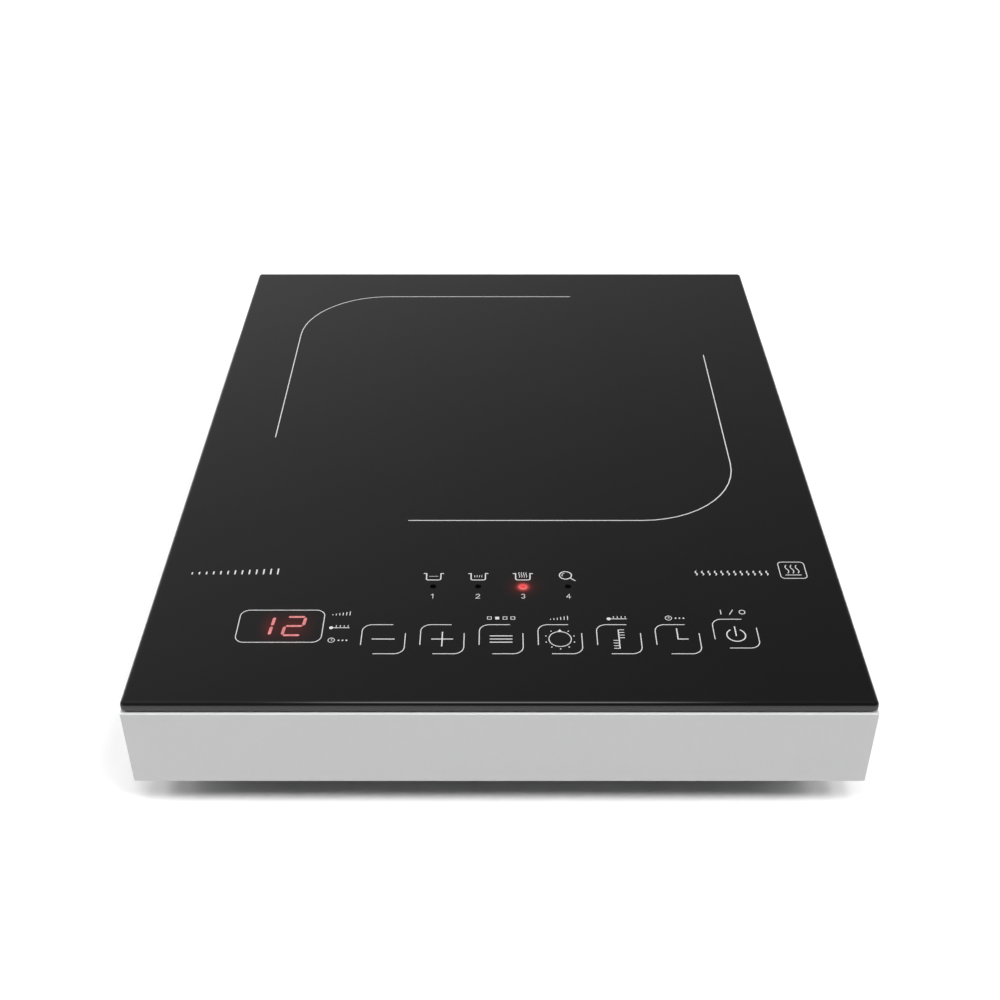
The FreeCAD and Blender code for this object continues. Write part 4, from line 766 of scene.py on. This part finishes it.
def black_glass():
    """Polished black glass-ceramic, duller at its two sides, with a painted red glow round the lit lamp and
    the digits.
    """
    material, tree, shader, place = new_material("black_glass")
    cloud = noise(tree, place, 45.0, 3.0)
    tree.links.new(ramped(tree, cloud, 0.018, 0.040), shader.inputs["Roughness"])
    tree.links.new(blended(tree, cloud, grey(0.0026, 1.12), grey(0.0040, 1.08)), shader.inputs["Base Color"])
    ripple = noise(tree, place, 30.0, 2.0)
    bump = add(tree, "Bump", {"Height": ripple, "Distance": 0.010 * MM, "Strength": 1.0})
    tree.links.new(bump.outputs["Normal"], shader.inputs["Normal"])
    off_centre = size_of(tree, add(tree, "SeparateXYZ", {"Vector": place}).outputs["X"])
    band_start, band_end = [glass_high.x - inset * MM for inset in GLASS_SIDE_BAND]
    level = ramped(tree, off_centre, GLASS_GLOSS, GLASS_SIDE_GLOSS, band_start, band_end)
    tree.links.new(level, shader.inputs["Specular IOR Level"])
    lamp_x, lamp_y = LAMP_CENTRES[LIT_MODE]
    show_x, show_y = DISPLAY_CENTRE
    # Painted glow: emission on the glass itself, round the lit lamp and the digits.
    glows = [glow(tree, place, lamp_x + shift, lamp_y, *shape) for shift, *shape in LAMP_GLOWS]
    glows += [glow(tree, place, show_x + shift, show_y, *shape) for shift, *shape in DIGIT_GLOWS]
    tree.links.new(sum_of(tree, *glows), shader.inputs["Emission Strength"])
    near_lamp = glow(tree, place, lamp_x, lamp_y, *LAMP_TINT)
    tree.links.new(blended(tree, near_lamp, GLOW_RED, GLOW_PINK), shader.inputs["Emission Color"])
    shader.inputs["IOR"].default_value = GLASS_INDEX
    return material


# Painted highlight on the rails' rounded top edge: the band below the rail top, in millimetres, where the
# base colour turns lighter, and that lighter grey.
RAIL_HIGHLIGHT_BAND = (0.55, 0.25)
RAIL_HIGHLIGHT_GREY = 0.80


def satin_frame():
    """Satin silver rails with a painted highlight: the base colour turns a lighter grey along the rounded
    top edge.
    """
    material = surface(
        "silver_metal", grey(0.392, 1.003), grey(0.400, 1.003), (0.46, 0.48), mottle=1.2,
        relief=("grain", 0.16, 0.0016), Metallic=0.5)
    tree = material.node_tree
    shader = tree.nodes["Principled BSDF"]
    body = shader.inputs["Base Color"].links[0].from_socket
    place = add(tree, "TexCoord", {}).outputs["Object"]
    height = add(tree, "SeparateXYZ", {"Vector": place}).outputs["Z"]
    # Painted highlight: the base colour eases to a lighter grey near the top of the rail.
    band_start, band_end = [RAIL_TOP - drop * MM for drop in RAIL_HIGHLIGHT_BAND]
    painted_highlight = ramped(tree, height, 0.0, 1.0, band_start, band_end)
    tone = add(tree, "Mix", {0: painted_highlight, 6: body, 7: (*grey(RAIL_HIGHLIGHT_GREY), 1)}, data_type="RGBA")
    tree.links.new(tone.outputs[2], shader.inputs["Base Color"])
    return material


LAMP_DIM = 0.92
LAMP_BRIGHT = 1.05


def lamp_light(name, core, rim, strength, centre=None, radius=1.0):
    """Lit red plastic with a slightly uneven glow; given a centre, it fades from core to rim."""
    material, tree, shader, place = new_material(name)
    uneven = noise(tree, place, 1.4, 2.0)
    mixture = glow(tree, place, *centre, radius, radius, 1.0) if centre else uneven
    tree.links.new(blended(tree, mixture, rim, core), shader.inputs["Emission Color"])
    brightness = ramped(tree, uneven, strength * LAMP_DIM, strength * LAMP_BRIGHT)
    body = blended(tree, uneven, (0.10, 0.01, 0.01), (0.16, 0.02, 0.02))
    tree.links.new(brightness, shader.inputs["Emission Strength"])
    tree.links.new(body, shader.inputs["Base Color"])
    tree.links.new(ramped(tree, uneven, 0.2, 0.3), shader.inputs["Roughness"])
    return material


METAL = {"Metallic": 1.0}

finishes = {
    "black_glass": black_glass(),
    "silver_metal": satin_frame(),
    "silicone": surface(
        "silicone", grey(0.010), grey(0.018), (0.50, 0.62), mottle=3.0, relief=("grain", 0.4, 0.008)),
    "die_cast": surface(
        "die_cast", grey(0.36), grey(0.46), (0.42, 0.60), mottle=2.5,
        relief=("grain", 0.35, 0.012), **METAL),
    "black_plastic": surface(
        "black_plastic", grey(0.014, 1.05), grey(0.024, 1.05), (0.46, 0.62), mottle=9.0,
        relief=("pebble", 0.55, 0.022)),
    "foot_rubber": surface(
        "foot_rubber", grey(0.012), grey(0.026), (0.68, 0.85), mottle=4.0, relief=("grain", 0.3, 0.018)),
    "gland_rubber": surface(
        "gland_rubber", grey(0.011), grey(0.020), (0.55, 0.72), mottle=3.0, relief=("grain", 0.35, 0.012)),
    "screw_steel": surface(
        "screw_steel", grey(0.44, 1.04), grey(0.62, 1.02), (0.24, 0.40), mottle=1.5,
        relief=("grain", 0.20, 0.005), **METAL),
    "fan_plastic": surface(
        "fan_plastic", grey(0.018, 1.1), grey(0.034, 1.1), (0.38, 0.52), mottle=5.0,
        relief=("grain", 0.25, 0.010)),
    "magnet": surface(
        "magnet", (0.060, 0.050, 0.046), (0.110, 0.095, 0.085), (0.55, 0.72), mottle=1.0,
        relief=("grain", 0.15, 0.010)),
    "shaft_steel": surface(
        "shaft_steel", grey(0.62), grey(0.76), (0.12, 0.22), mottle=1.0, relief=("Z", 0.10, 0.001), **METAL),
    "bearing_brass": surface(
        "bearing_brass", (0.50, 0.31, 0.11), (0.68, 0.46, 0.20), (0.34, 0.52), mottle=0.8,
        relief=("grain", 0.12, 0.008), **METAL),
    "core_steel": surface(
        "core_steel", grey(0.20), grey(0.34), (0.34, 0.50), mottle=2.0, relief=("Z", 0.50, 0.030), **METAL),
    "copper": surface(
        "copper", (0.46, 0.16, 0.050), (0.74, 0.31, 0.12), (0.26, 0.42), mottle=1.6,
        relief=("weave", 0.45, 0.060), Metallic=0.85),
    "duct_plastic": surface(
        "duct_plastic", (0.60, 0.60, 0.56), (0.70, 0.70, 0.66), (0.42, 0.55), mottle=14.0,
        relief=("grain", 0.8, 0.010)),
    "board_tan": surface(
        "board_tan", (0.27, 0.16, 0.055), (0.38, 0.25, 0.095), (0.34, 0.48), mottle=3.0,
        relief=("weave", 0.9, 0.010)),
    "board_green": surface(
        "board_green", (0.012, 0.085, 0.030), (0.022, 0.135, 0.048), (0.22, 0.34), mottle=3.5,
        relief=("weave", 0.8, 0.008)),
    "heatsink_aluminium": surface(
        "heatsink_aluminium", grey(0.55), grey(0.70), (0.28, 0.42), mottle=3.0,
        relief=("grain", 0.12, 0.010), stretch=(1, 14, 1), **METAL),
    "package_plastic": surface(
        "package_plastic", grey(0.014), grey(0.024), (0.48, 0.64), mottle=1.5, relief=("grain", 0.2, 0.008)),
    "capacitor_film": surface(
        "capacitor_film", (0.62, 0.35, 0.035), (0.76, 0.47, 0.070), (0.30, 0.42), mottle=4.0,
        relief=("grain", 0.5, 0.008)),
    "transformer_yellow": surface(
        "transformer_yellow", (0.62, 0.45, 0.060), (0.76, 0.60, 0.120), (0.26, 0.40), mottle=3.0,
        relief=("Z", 3.0, 0.020)),
    "can_aluminium": surface(
        "can_aluminium", grey(0.48, 1.02), grey(0.60, 1.02), (0.22, 0.36), mottle=2.0,
        relief=("grain", 0.10, 0.006), stretch=(1, 1, 16), **METAL),
    "varistor_blue": surface(
        "varistor_blue", (0.020, 0.070, 0.30), (0.045, 0.125, 0.42), (0.28, 0.44), mottle=1.5,
        relief=("grain", 0.8, 0.030)),
    "ferrite": surface(
        "ferrite", grey(0.045, 1.05), grey(0.085, 1.05), (0.50, 0.70), mottle=2.0,
        relief=("grain", 0.3, 0.020)),
    "fuse_ceramic": surface(
        "fuse_ceramic", (0.70, 0.67, 0.60), (0.82, 0.80, 0.74), (0.16, 0.28), mottle=2.0,
        relief=("grain", 0.5, 0.004)),
    "terminal_white": surface(
        "terminal_white", (0.70, 0.69, 0.65), (0.80, 0.79, 0.75), (0.30, 0.42), mottle=4.0,
        relief=("grain", 0.4, 0.006)),
    "terminal_brass": surface(
        "terminal_brass", (0.50, 0.36, 0.13), (0.66, 0.50, 0.22), (0.22, 0.36), mottle=1.5,
        relief=("grain", 0.15, 0.005), **METAL),
    "former_plastic": surface(
        "former_plastic", (0.52, 0.49, 0.42), (0.62, 0.59, 0.52), (0.50, 0.64), mottle=8.0,
        relief=("grain", 0.4, 0.014)),
    "mica": surface(
        "mica", (0.44, 0.34, 0.18), (0.68, 0.58, 0.38), (0.24, 0.46), mottle=2.2,
        relief=("pebble", 2.4, 0.020)),
    "lead_white": surface(
        "lead_white", (0.60, 0.58, 0.52), (0.80, 0.78, 0.72), (0.62, 0.78), mottle=1.2,
        relief=("weave", 0.42, 0.080)),
    "lead_red": surface(
        "lead_red", (0.42, 0.018, 0.014), (0.58, 0.040, 0.030), (0.30, 0.42), mottle=3.0,
        relief=("grain", 0.3, 0.006)),
    "ribbon_grey": surface(
        "ribbon_grey", grey(0.40), grey(0.50), (0.34, 0.46), mottle=5.0, relief=("X", 1.27, 0.120)),
    "pad_foam": surface(
        "pad_foam", grey(0.020), grey(0.045), (0.80, 0.92), mottle=0.7, relief=("pebble", 0.35, 0.080)),
    "display_black": surface(
        "display_black", grey(0.012), grey(0.022), (0.26, 0.38), mottle=2.0, relief=("grain", 0.3, 0.004)),
    "led_red": surface(
        "led_red", (0.48, 0.022, 0.016), (0.66, 0.045, 0.032), (0.16, 0.26), mottle=1.0,
        relief=("grain", 0.3, 0.004)),
    "printed_marks": surface(
        "printed_marks", grey(0.47, 1.01), grey(0.55, 1.01), (0.34, 0.46), mottle=0.6,
        relief=("grain", 0.12, 0.004)),
}
enamel = finishes["printed_marks"]
digit_light = lamp_light("digit_light", (0.95, 0.45, 0.46), (0.66, 0.17, 0.18), 0.72)
indicator_light = lamp_light(
    "indicator_light", (0.70, 0.030, 0.042), (0.80, 0.060, 0.070), 1.0, LAMP_CENTRES[LIT_MODE], 1.2)
lamp_window = surface(
    "lamp_window", grey(0.0006), grey(0.0012), (0.70, 0.80), mottle=1.0,
    relief=("grain", 0.3, 0.002), IOR=1.08)

for part in frame["record"]["subparts"]:
    shown = frame["nodes"][part["node"]]
    shown.data.materials.clear()
    shown.data.materials.append(finishes[part["material_slot"]])


# ---------------------------------------------------------------- marks in their places

minus, plus, menu, dial, gauge, timer, power = KEY_CENTRES

zone = Ink()
bracket_pair(zone, *ZONE_CENTRE, ZONE_HALF, ZONE_RADIUS, ZONE_REACH, BOLD_STROKE)
zone.piece("zone_mark", enamel)

key_frames = Ink()
for centre in KEY_CENTRES:
    bracket_pair(key_frames, *centre, KEY_HALF, KEY_RADIUS, KEY_REACH, THIN_STROKE)
key_frames.piece("key_frames", enamel)

key_symbols = Ink()
minus_sign(key_symbols, *minus)
plus_sign(key_symbols, *plus)
menu_sign(key_symbols, *menu)
dial_sign(key_symbols, *dial)
gauge_sign(key_symbols, *gauge)
timer_sign(key_symbols, *timer)
power_sign(key_symbols, *power)
key_symbols.piece("key_symbols", enamel)

key_legends = Ink()
legend_y = menu[1] + KEY_LEGEND_RISE
program_mark(key_legends, menu[0], legend_y)
level_mark(key_legends, dial[0], legend_y)
thermometer_mark(key_legends, gauge[0], legend_y)
clock_mark(key_legends, timer[0], legend_y)
on_off_mark(key_legends, power[0], power[1] + POWER_LEGEND_RISE)
key_legends.piece("key_legends", enamel)

window_x = DISPLAY_CENTRE[0] + WINDOW_SHIFT
window_y = DISPLAY_CENTRE[1]
window = Ink()
window.line(
    rounded_ring(window_x, window_y, WINDOW_HALF_X, WINDOW_HALF_Y, WINDOW_RADIUS), THIN_STROKE, closed=True)
window.piece("display_window", enamel)

window_legends = Ink()
legend_x = window_x + WINDOW_HALF_X + LEGEND_GAP
level_mark(window_legends, legend_x, window_y + LEVEL_LEGEND_RISE)
thermometer_mark(window_legends, legend_x, window_y - HEAT_LEGEND_DROP)
clock_mark(window_legends, legend_x, window_y - TIME_LEGEND_DROP)
window_legends.piece("window_legends", enamel)

digits = Ink()
for place, lit in zip((-0.5, 0.5), SHOWN_DIGITS):
    for name in lit:
        segment(digits, DISPLAY_CENTRE[0] + DIGIT_SHIFT + place * DIGIT_PITCH, DISPLAY_CENTRE[1], name)
digits.piece("display_digits", digit_light, LAMP_HEIGHT)

mode_signs = Ink()
mode_numbers = Ink()
dark_lamps = Ink()
lit_lamp = Ink()
for mode, (x, y) in enumerate(LAMP_CENTRES):
    MODE_SIGNS[mode](mode_signs, x, y + MODE_SYMBOL_RISE)
    numeral(mode_numbers, mode + 1, x, y - MODE_NUMERAL_DROP)
    lamp = lit_lamp if mode == LIT_MODE else dark_lamps
    lamp.disc(x, y, LAMP_RADIUS)
mode_signs.piece("mode_symbols", enamel)
mode_numbers.piece("mode_numbers", enamel)
dark_lamps.piece("indicator_windows", lamp_window, LAMP_HEIGHT)
lit_lamp.piece("indicator_lit", indicator_light, LAMP_HEIGHT)

power_scale = Ink()
bars(
    power_scale, GLASS_CENTRE[0] + SCALE_START, GLASS_CENTRE[1] + SCALE_HEIGHT,
    SCALE_BARS, SCALE_PITCH, SCALE_SHORT, SCALE_TALL, SCALE_STROKE)
power_scale.piece("power_scale", enamel)

heat_mark = Ink()
heat_x = GLASS_CENTRE[0] + HEAT_X
heat_y = GLASS_CENTRE[1] + HEAT_Y
heat_foot = heat_y - HEAT_LINE_HALF
heat_mark.line(rounded_ring(heat_x, heat_y, HEAT_HALF, HEAT_HALF, HEAT_RADIUS), THIN_STROKE, closed=True)
heat_mark.line([(heat_x - HEAT_LINE_HALF, heat_foot), (heat_x + HEAT_LINE_HALF, heat_foot)], THIN_STROKE)
for shift in HEAT_WAVE_SHIFTS:
    heat_mark.line(wave(heat_x + shift, heat_y + HEAT_WAVE_RISE, *HEAT_WAVE), THIN_STROKE)
for i in range(WAVE_ROW_COUNT):
    x = GLASS_CENTRE[0] + WAVE_ROW_START + WAVE_ROW_STEP * i
    heat_mark.line(wave(x, GLASS_CENTRE[1] + WAVE_ROW_Y, *WAVE_ROW_WAVE), BOLD_STROKE)
heat_mark.piece("heat_mark", enamel)


# ---------------------------------------------------------------- floor, light and camera

FLOOR_HALF = 12.0
FLOOR_PATCHES = 25.0

floor_mesh = bpy.data.meshes.new("floor")
floor_signs = ((-1, -1), (1, -1), (1, 1), (-1, 1))
floor_corners = [(across * FLOOR_HALF, back * FLOOR_HALF, 0) for across, back in floor_signs]
floor_mesh.from_pydata(floor_corners, [], [(0, 1, 2, 3)])
floor = bpy.data.objects.new("floor", floor_mesh)
bpy.context.scene.collection.objects.link(floor)
floor_mesh.materials.append(surface(
    "floor_white", grey(0.90), grey(0.92), (0.75, 0.85), mottle=FLOOR_PATCHES, relief=("grain", 1.0, 0.004)))

# Soft suns in a row from left to right, a little to the front: place along the row and strength.
SUN_SPREAD = math.radians(15)
SUN_FORWARD = -0.43
SUNS = (
    (-1.7, 0.24), (-1.05, 0.60), (-0.5, 0.85), (0.12, 0.75),
    (0.5, 1.02), (1.05, 0.97), (1.7, 0.48), (2.6, 0.18),
)


def soft_sun(name, source, strength):
    """A soft sun that shines from source towards the origin and leaves no mirror image."""
    data = bpy.data.lights.new(name, "SUN")
    data.energy = strength
    data.angle = SUN_SPREAD
    lamp = bpy.data.objects.new(name, data)
    lamp.location = source
    lamp.rotation_euler = (-Vector(source)).to_track_quat("-Z", "Y").to_euler()
    lamp.visible_glossy = False
    bpy.context.scene.collection.objects.link(lamp)


for number, (across, strength) in enumerate(SUNS):
    soft_sun(f"sun_{number}", (across, SUN_FORWARD, 1.0), strength)

# Studio surround: brightness by height above the horizon, brighter on the left, darker in front
# of the object, with one bright panel right above it and a bright band along the horizon.
# Each span is a component of the direction looked in, each range the brightness at its ends.
SKY_STEPS = ((0.00, 0.50), (0.30, 0.44), (0.45, 0.39), (0.70, 0.23), (0.77, 0.40), (1.00, 0.40))
SIDE_SPAN = (-0.35, 0.35)
SIDE_RANGE = (1.24, 0.56)
FRONT_SPAN = (-0.40, -0.08)
FRONT_RANGE = (0.35, 1.0)
PANEL_WIDTH_SPAN = (0.08, 0.19)
PANEL_HEIGHT_SPAN = (0.94, 0.97)
PANEL_STRENGTH = 3.0
HORIZON_SPAN = (0.08, 0.20)
HORIZON_GLOW = 0.9

world = bpy.data.worlds.new("studio")
bpy.context.scene.world = world
world.use_nodes = True
sky = world.node_tree
direction = add(sky, "SeparateXYZ", {"Vector": add(sky, "TexCoord", {}).outputs["Generated"]})
right_part, rear_part, up_part = [direction.outputs[axis] for axis in "XYZ"]
by_height = add(sky, "ValToRGB", {"Fac": up_part})
steps = by_height.color_ramp.elements
while len(steps) < len(SKY_STEPS):
    steps.new(1.0)
for step, (height, bright) in zip(steps, SKY_STEPS):
    step.position = height
    step.color = (*grey(bright), 1)
by_side = smooth_ramp(sky, right_part, *SIDE_SPAN, *SIDE_RANGE)
by_front = smooth_ramp(sky, rear_part, *FRONT_SPAN, *FRONT_RANGE)
panel_across = smooth_ramp(sky, size_of(sky, right_part), *PANEL_WIDTH_SPAN, PANEL_STRENGTH, 0.0)
panel_up = smooth_ramp(sky, up_part, *PANEL_HEIGHT_SPAN, 0.0, 1.0)
surround = product_of(sky, by_height.outputs["Color"], by_side, by_front)
panel = product_of(sky, panel_across, panel_up)
horizon = smooth_ramp(sky, up_part, *HORIZON_SPAN, HORIZON_GLOW, 0.0)
backdrop = sky.nodes["Background"]
backdrop.inputs["Color"].default_value = (1, 1, 1, 1)
sky.links.new(sum_of(sky, surround, panel, horizon), backdrop.inputs["Strength"])

CAMERA_LENS = 48.75
CAMERA_SENSOR = 36.0
CAMERA_PLACE = (0.0002, -0.5583, 0.4205)
CAMERA_TILT = 54.605

camera_data = bpy.data.cameras.new("camera")
camera_data.lens = CAMERA_LENS
camera_data.sensor_width = CAMERA_SENSOR
camera = bpy.data.objects.new("camera", camera_data)
camera.location = CAMERA_PLACE
camera.rotation_euler = (math.radians(CAMERA_TILT), 0.0, 0.0)
bpy.context.scene.collection.objects.link(camera)
bpy.context.scene.camera = camera
bpy.context.scene.view_settings.view_transform = "Standard"
